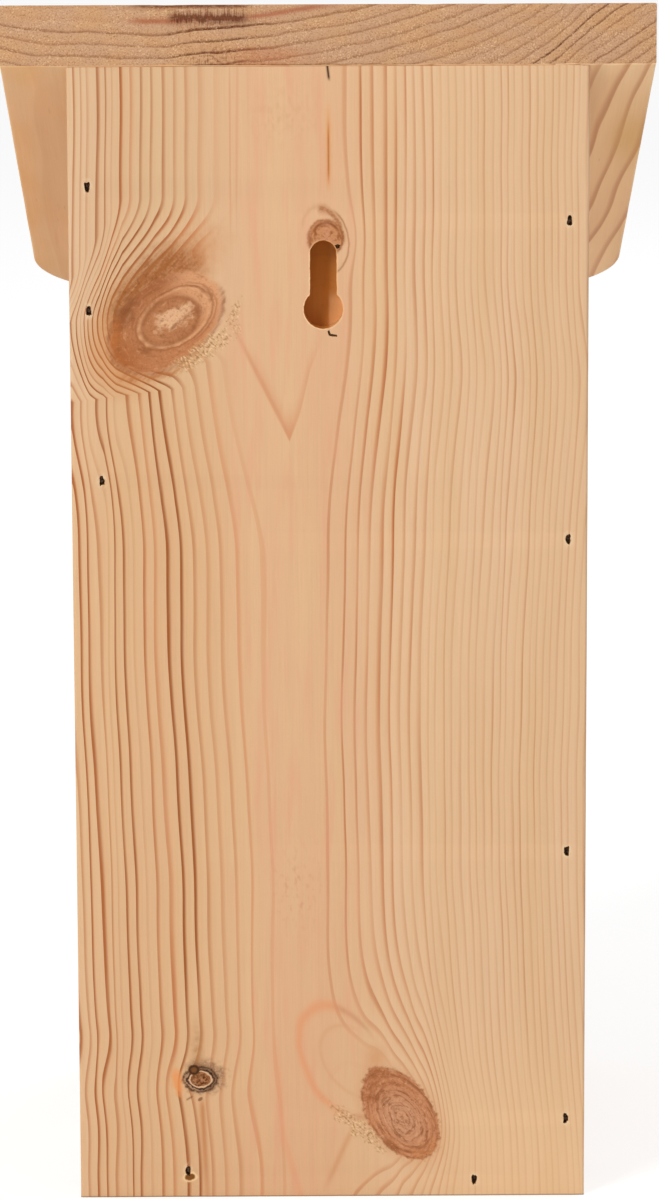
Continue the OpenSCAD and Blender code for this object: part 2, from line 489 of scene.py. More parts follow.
def roof_mesh():
    half, rear, r = ROOF_W / 2, ROOF_T * SLOPE, ROOF_CORNER_R
    front_end = -ROOF_L
    outline = straight((-half, rear), (-half, front_end + r), POINT_GAP)
    outline += arc(-half + r, front_end + r, r, 180, 270, 40)
    outline += straight((-half + r, front_end), (half - r, front_end), POINT_GAP)[1:]
    outline += arc(half - r, front_end + r, r, 270, 360, 40)
    outline += straight((half, front_end + r), (half, rear), POINT_GAP)[1:]
    outline += straight((half, rear), (-half, rear), 1.2)
    shell = Shell()

    def ease(u, v):
        chip = max(0, noise.noise(Vector((u * 0.12, v * 0.12, 31))) - 0.1)
        if v > rear - 0.2:
            return 0.35 + 1.1 * chip + 0.15 * noise.noise(Vector((u * 0.9, 0, 33)))
        return 0.8 * (1 + 0.35 * noise.noise(Vector((u * 0.08, v * 0.08, 35))))
    outer, inner = shell.eased_wall(outline, ease, ROOF_T)
    rims = pin_pits(shell, roof, 24)
    shell.cover([outer] + rims)
    shell.cover([inner])
    return shell.mesh("roof_wood", roof, sloped_end(rear, -1))


# ---------------------------------------------------------------- finishes

def shade(r, g, b):
    """A colour as a painter names it, from 0 to 255 a part, ready for a socket."""
    parts = [c / 255 for c in (r, g, b)]
    return tuple(c / 12.92 if c < 0.04045 else ((c + 0.055) / 1.055) ** 2.4 for c in parts) + (1,)


def grey(x):
    return (x, x, x, 1)


class Value:
    """What comes out of a node's socket. Arithmetic on it adds Math nodes, with numbers on either side."""

    def __init__(self, tree, socket):
        self.tree = tree
        self.socket = socket

    def __add__(self, other):
        return self.tree.maths("ADD", self, other)

    def __radd__(self, other):
        return self.tree.maths("ADD", other, self)

    def __sub__(self, other):
        return self.tree.maths("SUBTRACT", self, other)

    def __rsub__(self, other):
        return self.tree.maths("SUBTRACT", other, self)

    def __mul__(self, other):
        return self.tree.maths("MULTIPLY", self, other)

    def __rmul__(self, other):
        return self.tree.maths("MULTIPLY", other, self)

    def __truediv__(self, other):
        return self.tree.maths("DIVIDE", self, other)

    def __rtruediv__(self, other):
        return self.tree.maths("DIVIDE", other, self)

    def __pow__(self, other):
        return self.tree.maths("POWER", self, other)


class Tree:
    """A tree of nodes, for a material, the world or a piece's shape."""

    def __init__(self, nodes):
        self.tree = nodes
        self.tree.nodes.clear()

    def node(self, kind, settings=None, inputs=None):
        """One node: its settings come first, then the values or links of its sockets."""
        made = self.tree.nodes.new(kind)
        for key, value in (settings or {}).items():
            if key == "stops":
                self.set_stops(made.color_ramp, value)
            elif key == "points":
                self.set_points(made.mapping, *value)
            else:
                setattr(made, key, value)
        for key, value in (inputs or {}).items():
            for one in value if isinstance(value, list) else [value]:
                if isinstance(one, Value):
                    self.tree.links.new(one.socket, made.inputs[key])
                else:
                    made.inputs[key].default_value = one
        return made

    def set_stops(self, ramp, stops):
        """A ramp in flat steps, from a list of (place, colour)."""
        ramp.interpolation = "CONSTANT"
        while len(ramp.elements) < len(stops):
            ramp.elements.new(1)
        for stop, (place, tone) in zip(ramp.elements, stops):
            stop.position = place
            stop.color = tone

    def set_points(self, mapping, points, bends):
        """A curve through these points. bends is VECTOR for straight pieces."""
        curve = mapping.curves[0]
        curve.points[0].location = points[0]
        curve.points[1].location = points[-1]
        for x, y in points[1:-1]:
            curve.points.new(x, y)
        for point in curve.points:
            point.handle_type = bends
        mapping.update()

    def value(self, kind, settings=None, inputs=None, out=0):
        """One node, for what comes out of one of its sockets."""
        return Value(self, self.node(kind, settings, inputs).outputs[out])

    def maths(self, operation, *numbers):
        return self.value("ShaderNodeMath", {"operation": operation}, dict(enumerate(numbers)))

    def least(self, a, b):
        return self.maths("MINIMUM", a, b)

    def most(self, a, b):
        return self.maths("MAXIMUM", a, b)

    def within(self, x, low, high):
        return self.least(self.most(x, low), high)

    def point(self, x, y, z):
        return self.value("ShaderNodeCombineXYZ", None, {0: x, 1: y, 2: z})


class Finish(Tree):
    """The node tree of a material or of the world."""

    def __init__(self, owner):
        owner.use_nodes = True
        self.owner = owner
        super().__init__(owner.node_tree)

    def ease(self, x, start, end, low=0.0, high=1.0):
        """A smooth step from low at start to high at end."""
        return self.value("ShaderNodeMapRange", {"interpolation_type": "SMOOTHSTEP"},
                          {"Value": x, "From Min": start, "From Max": end, "To Min": low, "To Max": high})

    def hill(self, x, centre, spread):
        """1 at the centre, falling away on both sides."""
        return self.fall((x - centre) / spread)

    def fall(self, away):
        return self.maths("EXPONENT", away * away * -1)

    def span(self, a, b, least=None):
        """How far a point is from the middle, from its distances two ways."""
        square = a * a + b * b
        return self.maths("SQRT", square if least is None else square + least)

    def cloud(self, x, y, z, detail=2.0, rough=0.5):
        """Soft noise about 0, from -1 to 1, at a point already in units of its own size."""
        made = self.value("ShaderNodeTexNoise", {"noise_dimensions": "3D"}, {
            "Vector": self.point(x, y, z), "Scale": 1.0, "Detail": detail, "Roughness": rough})
        return made * 2 - 1

    def chance(self, number):
        """A number from 0 to 1, drawn for each whole number."""
        return self.value("ShaderNodeTexWhiteNoise", {"noise_dimensions": "1D"}, {"W": number})

    def in_oval(self, u, v, centre_u, centre_v, long, short, turn):
        """A point's two distances from an oval's middle, as shares of its size. turn is in degrees."""
        c, s = math.cos(math.radians(turn)), math.sin(math.radians(turn))
        du, dv = u - centre_u, v - centre_v
        return (du * c + dv * s) / long, (dv * c - du * s) / short

    def oval(self, u, v, *shape):
        """1 on an oval's edge and 0 at its centre."""
        return self.span(*self.in_oval(u, v, *shape))

    def arcs(self, u, v, shape, fine, seed):
        """Noise drawn out round an oval, as a knot's own rings are. fine is how many cross its radius."""
        a, b = self.in_oval(u, v, *shape)
        reach = self.span(a, b, 0.0001)
        return self.cloud(reach * fine, a / reach * 1.4 + seed, b / reach * 1.4, 3.0, 0.6)

    def blend(self, factor, a, b, way="MIX"):
        """Colour a turning to colour b. A Mix node's colours are its sockets 6 and 7, and its output 2."""
        return self.value("ShaderNodeMix", {"data_type": "RGBA", "blend_type": way},
                          {0: factor, 6: a, 7: b}, 2)

    def seasons(self, year, strengths):
        """The strength of each year's ring, from a list of (first year, strength) up to year 64."""
        stops = [(first / 64, grey(strength)) for first, strength in strengths]
        return self.value("ShaderNodeValToRGB", {"stops": stops}, {"Fac": (year + 0.5) / 64})

    def curve(self, x, points, bends):
        """A number from a curve through these points, both from 0 to 1."""
        return self.value("ShaderNodeFloatCurve", {"points": (points, bends)}, {"Value": x})

    def place(self):
        """A point's place on its piece, in metres."""
        return self.value("ShaderNodeTexCoord", None, None, "Object")

    def spots(self, scale, detail):
        """Fine noise from 0 to 1, the same all ways. scale is how many of its lumps fit in a metre."""
        return self.value("ShaderNodeTexNoise", None, {
            "Vector": self.place(), "Scale": scale, "Detail": detail})

    def ray(self, kind):
        """1 for a ray of this kind."""
        return self.value("ShaderNodeLightPath", None, None, kind)

    def axes(self, board):
        """A point's place on a board's own axes, in millimetres."""
        place = self.place()
        found = []
        for way in (board.u_way, board.v_way, board.w_way):
            dot = self.value("ShaderNodeVectorMath", {"operation": "DOT_PRODUCT"},
                             {0: place, 1: tuple(way / MM)}, "Value")
            found.append(dot - board.origin.dot(way))
        return found

    def close(self, colour, rough, height, relief, metal=0.0, gloss=1.22):
        """The surface itself. relief is the height of the bumps in millimetres, gloss is its IOR."""
        bump = self.value("ShaderNodeBump", None, {
            "Strength": 1.0, "Distance": relief * MM, "Height": height})
        return self.output(self.value("ShaderNodeBsdfPrincipled", None, {
            "Base Color": colour, "Roughness": rough, "Metallic": metal, "Normal": bump, "IOR": gloss}))

    def output(self, shader, kind="ShaderNodeOutputMaterial"):
        self.node(kind, None, {"Surface": shader})
        return self.owner


def new_finish(name):
    return Finish(bpy.data.materials.new(name))


# Colours of the timber.
SAP = shade(227, 188, 149)
STRAW = shade(223, 183, 139)
PINK = shade(221, 174, 134)
TAN = shade(221, 177, 135)
AMBER = shade(216, 154, 102)
LATE = shade(154, 86, 38)
SALMON = shade(212, 132, 86)
KNOT_PALE = shade(214, 160, 118)
KNOT_BROWN = shade(178, 117, 77)
KNOT_RED = shade(190, 125, 82)
UMBER = shade(132, 74, 34)


def tinted(f, u, v, w, late, soft, tone, base, seed, warmth=0.3):
    """Bare pine from its late wood: the ring lines, the fibres between them and slow changes of tint."""
    slow = f.cloud(u / 14.0 + seed, v / 170.0, w / 14.0, 2.0)
    fibre = f.cloud(u / 0.5, v / 26.0 + seed, w / 0.5, 3.0, 0.65)
    streak = f.cloud(u / 2.4 + seed, v / 110.0, w / 2.4, 2.0)
    colour = f.blend(f.ease(slow, -0.3, 0.45, 0.0, 0.75), base, STRAW)
    colour = f.blend(soft * tone * (0.34 + warmth * 0.3), colour, AMBER)
    line = f.blend(f.ease(tone, 0.3, 0.8), shade(176, 104, 52), LATE)
    line = f.blend(warmth, line, SALMON)
    strong = late * (tone * 1.15 + 0.05) * (1.0 + fibre * 0.3)
    colour = f.blend(f.within(strong, 0.0, 1.0), colour, line)
    flecks = f.ease(f.cloud(u / 0.42, v / 1.5, w / 0.42 + seed, 1.0), 0.5, 0.62)
    lighten = 1 + fibre * 0.06 + streak * 0.035 + flecks * 0.05
    shades = f.point(lighten, lighten, lighten)
    colour = f.value("ShaderNodeVectorMath", {"operation": "MULTIPLY"}, {0: colour, 1: shades})
    return colour, fibre


def planed(f, colour, late, tone, fibre):
    """A planed face, where the late wood stands a little proud and shines a little more."""
    return f.close(colour, 0.6 - late * tone * 0.1, late * tone * 0.6 + fibre * 0.35, 0.06)


def season_of(f, t):
    """The number of a year, and how far that year has run, from an age in years."""
    year = f.maths("FLOOR", t)
    return year, t - year


def pine(name, board, heart_u, heart_w, ring, seed, knots):
    """Plain pine for a board whose pith lies at (heart_u, heart_w) across it. Knots are (u, v, radius)."""
    f = new_finish(name)
    u, v, w = f.axes(board)
    sway = f.cloud(u / 60.0 + seed, v / 90.0, w / 60.0 + seed, 1.0) * 5.0
    bulge = 0.0
    for knot_u, knot_v, radius in knots:
        near = f.hill(v, knot_v, radius * 2.0) * f.hill(u, knot_u, radius * 2.6)
        side = f.ease(u, knot_u - radius * 0.5, knot_u + radius * 0.5, -1.0, 1.0)
        bulge = bulge + near * side * radius * 0.85
    reach = f.span(u + sway - bulge - heart_u, w - heart_w)
    t = reach / ring + f.cloud(u / 9.0, v / 70.0, w / 9.0 + seed, 1.0) * 0.22
    year, phase = season_of(f, t)
    late = f.ease(phase, 0.4, 0.86) * f.ease(phase, 1.0, 0.92)
    soft = f.ease(phase, 0.1, 0.8) * f.ease(phase, 1.0, 0.9)
    tone = (0.25 + f.chance(year + seed) * 0.75) * 0.62
    base = f.blend(f.ease(f.cloud(u / 30.0, v / 200.0 + seed, w / 30.0, 1.0), -0.2, 0.4), SAP, PINK)
    colour, fibre = tinted(f, u, v, w, late, soft, tone, base, seed)
    for knot_u, knot_v, radius in knots:
        edge = f.oval(u, v, knot_u, knot_v, radius * 1.15, radius, 10 * seed)
        edge = edge + f.cloud(u / 3.0, v / 3.0, w / 8.0, 2.0) * 0.1
        colour = knotted(f, colour, edge, radius, KNOT_RED, KNOT_BROWN, u, v, w)
        rim = f.ease(edge, 0.9, 1.0) * f.ease(edge, 1.14, 1.02)
        colour = f.blend(rim * 0.6, colour, UMBER)
    return planed(f, colour, late, tone, fibre)


def knotted(f, colour, edge, radius, body, dark, u, v, w):
    """A knot laid over the board: edge is 1 on its outline. Its own rings are fine and uneven."""
    wander = f.cloud(u / 2.2, v / 2.2, w / 5.0, 2.0) * 0.05
    rings = f.maths("SINE", (edge + wander) * (radius * 4.6))
    grit = f.cloud(u / 0.8, v / 0.8, w / 0.8, 3.0)
    inside = f.blend(f.ease(edge, 0.25, 0.95, 0.0, 0.7), body, dark)
    inside = f.blend(f.ease(rings, 0.0, 1.0, 0.0, 0.45), inside, UMBER)
    inside = f.blend(f.ease(grit, 0.0, 0.7, 0.0, 0.35), inside, UMBER)
    inside = f.blend(f.ease(grit, -0.1, -0.6, 0.0, 0.35), inside, KNOT_PALE)
    return f.blend(f.ease(edge, 1.03, 0.95), colour, inside)


def sawn(f, u, v, w, q, tone, base, seed):
    """Sawn end grain from its ring number q: dark broken lines, open pores and the saw's strokes."""
    phase = season_of(f, q)[1]
    fuzz = f.cloud(u / 0.45, w / 0.35, seed, 2.0)
    line = f.ease(phase + fuzz * 0.12, 0.68, 0.88) * f.ease(phase, 1.0, 0.95)
    shadow = f.ease(phase, 0.1, 0.9) * f.ease(phase, 1.0, 0.9)
    slow = f.cloud(u / 16.0, w / 8.0, seed, 2.0)
    colour = f.blend(f.ease(slow, -0.3, 0.4), base, shade(204, 156, 112))
    colour = f.blend(shadow * 0.28, colour, shade(184, 132, 92))
    broken = 0.95 + f.cloud(u / 1.4, w / 1.4, seed + 3.0, 2.0) * 0.8
    strong = f.within(line * tone * broken, 0.0, 1.0)
    colour = f.blend(strong, colour, f.blend(f.ease(tone, 0.4, 0.9), shade(132, 80, 44), shade(96, 48, 20)))
    pores = f.cloud(u / 0.42, w / 0.42, seed + v / 0.42, 2.0)
    zone = f.ease(f.cloud(u / 7.0, w / 5.0, seed + 6.0, 1.0), -0.35, 0.35, 0.3, 1.0)
    colour = f.blend(f.ease(pores, 0.08, 0.4, 0.0, 0.75) * zone, colour, shade(236, 196, 152))
    colour = f.blend(f.ease(pores, -0.08, -0.45, 0.0, 0.65), colour, shade(142, 92, 56))
    strokes = f.cloud((u + w * 0.7) / 0.35, (w - u * 0.7) / 26.0, seed, 2.0)
    colour = f.blend(f.ease(strokes, 0.1, 0.6, 0.0, 0.16), colour, shade(150, 100, 66))
    return colour, line * 0.4 + pores * 0.5 + strokes * 0.3


def end_pine(name, board, heart_u, heart_w, ring, seed):
    """End grain of a board whose pith lies at (heart_u, heart_w)."""
    f = new_finish(name)
    u, v, w = f.axes(board)
    q = f.span(u - heart_u, w - heart_w) / ring + 0.17 + f.cloud(u / 13.0, w / 9.0, seed, 2.0) * 0.3
    tone = 0.25 + f.chance(f.maths("FLOOR", q) + seed) * 0.6
    colour, height = sawn(f, u, v, w, q, tone, shade(208, 166, 128), seed)
    return f.close(colour, 0.74, height, 0.09)


# How dark each ring of the roof's end is, from (its number, strength), and how the rings climb across it.
ROOF_RINGS = [(0, 0.3), (1, 0.0), (2, 0.62), (3, 0.45), (4, 0.55), (5, 0.45), (6, 0.55), (7, 0.35),
              (8, 0.45), (9, 0.3), (10, 0.4), (11, 0.5), (12, 1.0), (13, 0.8), (14, 0.55), (15, 0.3),
              (16, 0.7), (17, 0.6)]
ROOF_RISE = [(0, 0.06), (0.06, 0.021), (0.15, 0.012), (0.25, 0), (0.28, 0.014), (0.4, 0.055),
             (0.5, 0.104), (0.64, 0.234), (0.73, 0.343), (0.83, 0.53), (0.9, 0.745), (1, 0.986)]


def roof_end_pine():
    """The roof's ends: rings flat on one side and steep on the other, an old brown stain, and painted shade
    at the foot.
    """
    f = new_finish("roof end grain")
    u, v, w = f.axes(roof)
    rise = f.curve((ROOF_W / 2 - u) / ROOF_W, ROOF_RISE, "AUTO_CLAMPED")
    level = w / ROOF_T
    q = level * 5.14 + rise * 15.2 + 0.4 + f.cloud(u / 11.0, w / 6.0, 1.0, 2.0) * 0.3
    rear = f.ease(v, -30.0, -20.0)
    stained = f.hill(u, 31.0, 13.0) * rear
    tone = f.seasons(f.maths("FLOOR", q), ROOF_RINGS) * (0.85 + stained * 0.5) + stained * 0.2
    tone = tone * f.ease(q, 2.0, 2.02, 0.2, 1.0)
    colour, height = sawn(f, u, v, w, q, tone, shade(199, 156, 121), 6.0)

    plain = colour
    smoke = f.cloud(u / 1.3, w / 0.8, 3.0, 3.0)
    hairs = f.cloud(u / 0.45, w / 7.0, 8.0, 2.0)
    red = f.hill(level, 0.27, 0.05) * f.ease(u, 60.0, 52.0) * f.ease(u, 38.0, 44.0)
    colour = f.blend(red * 0.75, colour, shade(168, 92, 58))
    red = f.hill(level, 0.21 - f.ease(u, 26.0, -4.0) * 0.19, 0.045)
    red = red * f.ease(u, 28.0, 20.0) * f.ease(u, -6.0, 6.0)
    colour = f.blend(red * 0.7, colour, shade(166, 86, 54))
    red = f.hill(u, 18.0, 12.0) * f.ease(level, 0.6, 0.8)
    colour = f.blend(red * (0.35 + smoke * 0.5), colour, shade(178, 98, 66))
    band = f.hill(level + hairs * 0.1, 0.225, 0.075) * f.ease(u, 47.0, 43.0) * f.ease(u, 21.0, 26.0)
    colour = f.blend(f.within(band * (1.1 + smoke), 0.0, 0.92), colour, shade(98, 46, 22))
    edge = f.ease(level, 0.09, 0.03) * f.ease(u, 62.0, 48.0) * f.ease(u, 20.0, 26.0)
    colour = f.blend(f.within(edge * (0.8 + smoke), 0.0, 0.9), colour, shade(108, 54, 28))
    drag = f.hill(u, 30.0, 8.0) * f.ease(level, 0.5, 0.25) * f.ease(hairs, 0.02, 0.35)
    colour = f.blend(drag * 0.7, colour, shade(104, 56, 32))
    blot = f.hill(u, 33.0, 7.0) * f.ease(level, 0.62, 0.9) * f.ease(smoke + hairs * 0.8, -0.1, 0.45)
    colour = f.blend(blot * 0.8, colour, shade(112, 60, 34))
    blot = f.hill(u, 36.0, 15.0) * f.ease(smoke + hairs, 0.0, 0.5) * f.ease(level, 0.75, 0.2, 0.25, 1.0)
    colour = f.blend(blot * 0.5, colour, shade(150, 86, 56))
    # Painted shade with some stain: a dark line along the end's lower edge, where the roof sits on the back
    # panel.
    shade_and_stain_seam = f.ease(level, 0.955, 0.99) * f.ease(u, 46.0, 40.0) * f.ease(u, -30.0, -16.0)
    colour = f.blend(shade_and_stain_seam * (0.6 + smoke * 0.6), colour, shade(92, 46, 24))
    colour = f.blend(rear, plain, colour)
    return f.close(colour, 0.74, height, 0.09)


def roof_pine():
    """The roof board's faces: warm, slanting rings on one side, resin dashes all over, painted light under
    one wing.
    """
    f = new_finish("roof pine")
    u, v, w = f.axes(roof)
    slant = u + v * f.ease(u, 20.0, -60.0) * 0.095
    sway = f.cloud(u / 60.0 + 6.0, v / 90.0, w / 60.0, 1.0) * 4.0
    t = f.span(slant + sway - 49.0, w + 215.0) / 3.4 + 0.17 + f.cloud(u / 9.0, v / 60.0, w / 9.0, 1.0) * 0.2
    year, phase = season_of(f, t)
    late = f.ease(phase, 0.62, 0.9) * f.ease(phase, 1.0, 0.94)
    soft = f.ease(phase, 0.1, 0.9) * f.ease(phase, 1.0, 0.9)
    tone = (0.06 + f.chance(year + 6.0) * 0.3) * f.ease(u, 62.0, 20.0, 0.15, 1.0)
    slow = f.cloud(u / 18.0, v / 46.0, w / 18.0 + 2.0, 2.0)
    base = f.blend(f.ease(slow, -0.35, 0.35), shade(234, 188, 140), shade(230, 178, 122))
    # Painted light: the underside of the wing on the -X side, which the box shades from the key lamp, is
    # drawn paler and its rings stronger.
    painted_light_wing = f.ease(u, -56.0, -66.0) * f.ease(w, ROOF_T - 3.0, ROOF_T)
    base = f.blend(painted_light_wing, base, shade(254, 214, 166))
    tone = tone + painted_light_wing * 0.16
    colour, fibre = tinted(f, u, v, w, late, soft, tone, base, 6.0, 0.4)
    dash = f.ease(f.cloud(u / 1.1, v / 13.0, w / 1.1, 2.0), 0.4, 0.62)
    patch = f.ease(f.cloud(u / 9.0, v / 40.0, w / 9.0 + 5.0, 1.0), -0.1, 0.4)
    colour = f.blend(dash * patch * 0.5, colour, shade(150, 88, 50))
    red = f.ease(f.cloud(u / 3.0, v / 22.0, w / 3.0 + 9.0, 2.0), 0.35, 0.6) * patch
    colour = f.blend(red * 0.35, colour, shade(198, 118, 78))
    gold = f.hill(u, -90.0, 6.0) * f.hill(v, -60.0, 22.0) * f.ease(w, 8.0, 14.0)
    colour = f.blend(gold * 0.5, colour, shade(220, 172, 88))
    return planed(f, colour, late, tone, fibre)


# The back panel's rings, as (first year, strength), either side of its pith and above the large knot.
LEFT_RINGS = [(0, 0.2), (17, 0.36), (20, 0.5), (21, 1.0), (23, 0.55), (24, 0.72), (25, 0.16), (26, 0.86),
              (28, 0.2), (29, 0.56), (30, 1.0), (32, 0.5), (33, 0.85)]
LEFT_RINGS_ABOVE = [(0, 0.25), (18, 0.4), (20, 0.6), (21, 0.5), (22, 0.56), (23, 0.46), (24, 1.1),
                    (25, 0.2), (26, 0.66), (28, 0.3), (29, 0.4), (30, 0.7)]
RIGHT_RINGS = [(0, 0.2), (16, 0.55), (17, 0.48), (21, 0.5), (22, 0.34), (24, 0.36), (25, 0.15), (26, 0.26),
               (28, 0.17), (31, 0.21), (33, 0.32), (35, 0.2), (37, 0.3), (38, 0.16), (39, 0.28), (40, 0.2)]

# How red the lines are, in the same form.
LEFT_WARMTH = [(0, 0.85), (18, 0.45), (20, 0.25), (21, 0.1), (23, 0.6), (24, 0.4), (25, 0.15), (28, 0.3)]
RIGHT_WARMTH = [(0, 0.8), (16, 0.45), (19, 0.5), (22, 0.35), (26, 0.15)]

# How fast the rings left of the pith follow each other: share of the way out, share of the years.
LEFT_GROWTH = [(0, 0), (0.13, 0.135), (0.25, 0.25), (0.3, 0.288), (0.455, 0.442), (0.505, 0.519),
               (0.56, 0.558), (0.59, 0.596), (1, 0.99)]

# Where the back panel's pith lies: across the board, and in from its outer face.
PITH_U, PITH_DEEP = -9.9, 34.0

# Ovals of the back panel's knots: centre across and up, half length, half width, turn in degrees.
LARGE_KNOT = (-47.2, 262.3, 18.6, 12.0, 38.0)
LARGE_RINGS = (-46.0, 262.8, 18.0, 11.5, 36.0)
LARGE_CORE = (-45.8, 262.5, 9.4, 6.5, 34.0)
LOW_KNOT = (20.3, 25.4, 15.6, 9.6, -57.0)
LOW_RINGS = (20.8, 24.2, 14.2, 8.6, -56.0)
SMALL_KNOT = (-39.1, 36.3, 4.6, 3.5, 0.0)
HEAD_KNOT = (-1.0, 286.4, 5.3, 5.6, 0.0)
HEAD_RINGS = (-1.0, 286.6, 5.2, 5.4, 0.0)


def back_pine():
    """The back panel's own figure: two large knots, one small dark one, and one at the keyhole's head."""
    f = new_finish("back panel pine")
    u, v, w = f.axes(back)
    shrink = (PITH_DEEP - w) / PITH_DEEP
    x = (u - PITH_U) / shrink + PITH_U
    y = v + w * 0.12
    big, core, low, small, head = [
        f.oval(x, y, *shape) for shape in (LARGE_KNOT, LARGE_CORE, LOW_KNOT, SMALL_KNOT, HEAD_KNOT)]

    t, across = growth(f, x, v, w, shrink, small, head)
    year, phase = season_of(f, t)
    on_left = f.ease(across, 0.5, -0.5)
    warmth = f.seasons(year, RIGHT_WARMTH)
    warmth = warmth + (f.seasons(year, LEFT_WARMTH) - warmth) * on_left
    wide = f.ease(f.maths("ABSOLUTE", across), 25.0, 9.0)
    late = f.ease(phase, 0.62 - warmth * 0.18 * (1.0 - wide) + wide * 0.24, 0.9)
    late = late * f.ease(phase, 1.0, 0.95 + wide * 0.03)
    soft = f.ease(phase, 0.05, 0.8) * f.ease(phase, 1.0, 0.9) * (0.85 - wide * 0.5)
    above = f.ease(v, 250.0, 296.0)
    left_tone = f.seasons(year, LEFT_RINGS)
    left_tone = left_tone + (f.seasons(year, LEFT_RINGS_ABOVE) - left_tone) * above
    right_tone = f.seasons(year, RIGHT_RINGS)
    right_tone = right_tone * (1.0 + f.cloud(year * 0.83, v / 70.0, w / 90.0, 1.0) * 1.5)
    tone = right_tone + (left_tone - right_tone) * on_left
    loose = f.hill(x, -39.5, 4.5) * f.hill(v, 30.0, 40.0)
    tone = tone * (1.0 - loose * 0.4) + f.hill(x, -46.5, 1.6) * f.hill(v, 55.0, 26.0) * 0.3
    tone = tone * (0.86 + f.cloud(x / 9.0 + 2.0, v / 50.0, w / 9.0, 2.0) * 0.35)
    tone = tone + f.hill(x, 20.0, 5.0) * f.hill(v, 205.0, 48.0) * 0.22
    tone = tone * f.ease(year, 15.0, 17.0) + wide * f.ease(year, 15.0, 16.0) * 0.12
    near = f.ease(big, 1.9, 1.1) * f.ease(x, -36.0, -50.0) * f.ease(v, 238.0, 246.0)
    stroke = f.ease(f.oval(x, y, -51.0, 279.0, 20.0, 11.0, 48.0), 1.25, 0.7)
    tone = tone + near * 0.5 + stroke * 0.55

    base = f.blend(f.ease(x, -14.0, -34.0) * f.ease(x, -77.0, -60.0) * 0.8, SAP, TAN)
    base = f.blend(f.ease(x, -38.0, -18.0) * f.ease(x, 22.0, -2.0) * 0.85, base, PINK)
    brown = f.ease(big, 2.0, 1.2)
    colour, fibre = tinted(f, x, v, w, late, soft, tone, base, 1.0, warmth * (1 - brown * 0.8))
    bottom = f.ease(v, 70.0, 0.0) * f.ease(x, 10.0, 50.0)
    colour = f.blend(bottom * 0.5, colour, shade(240, 200, 152))
    glow = f.ease(big, 1.7, 1.05) * f.ease(x, -48.0, -60.0)
    colour = f.blend(glow * 0.55, colour, shade(206, 134, 76))

    # Painted shade: the +X side (left, seen from behind) is darkened, more so towards the top; the tint
    # also makes its wood a little yellower.
    dull = f.ease(x, -16.0, -42.0) * f.ease(v, 20.0, 330.0, 0.35, 1.0)
    painted_shade_tint = f.blend(f.ease(v, 200.0, 285.0), shade(249, 247, 242), shade(247, 250, 253))
    colour = f.blend(dull, colour, painted_shade_tint, "MULTIPLY")
    colour = tongue_and_loop(f, colour, x, y, v)
    colour = large_knot(f, colour, x, y, w, big, core)
    colour = low_knot(f, colour, x, y, w, low)
    colour = small_knot(f, colour, x, y, w, small)
    colour = head_knot(f, colour, x, y, w, head)
    colour = handling_marks(f, colour, x, y)
    # Painted shade: a dark line along the bottom edge, where the panel stands on the floor.
    colour = f.blend(f.ease(v, 0.6, 0.2, 0.0, 0.75), colour, shade(140, 104, 72))
    return planed(f, colour, late, tone, fibre)


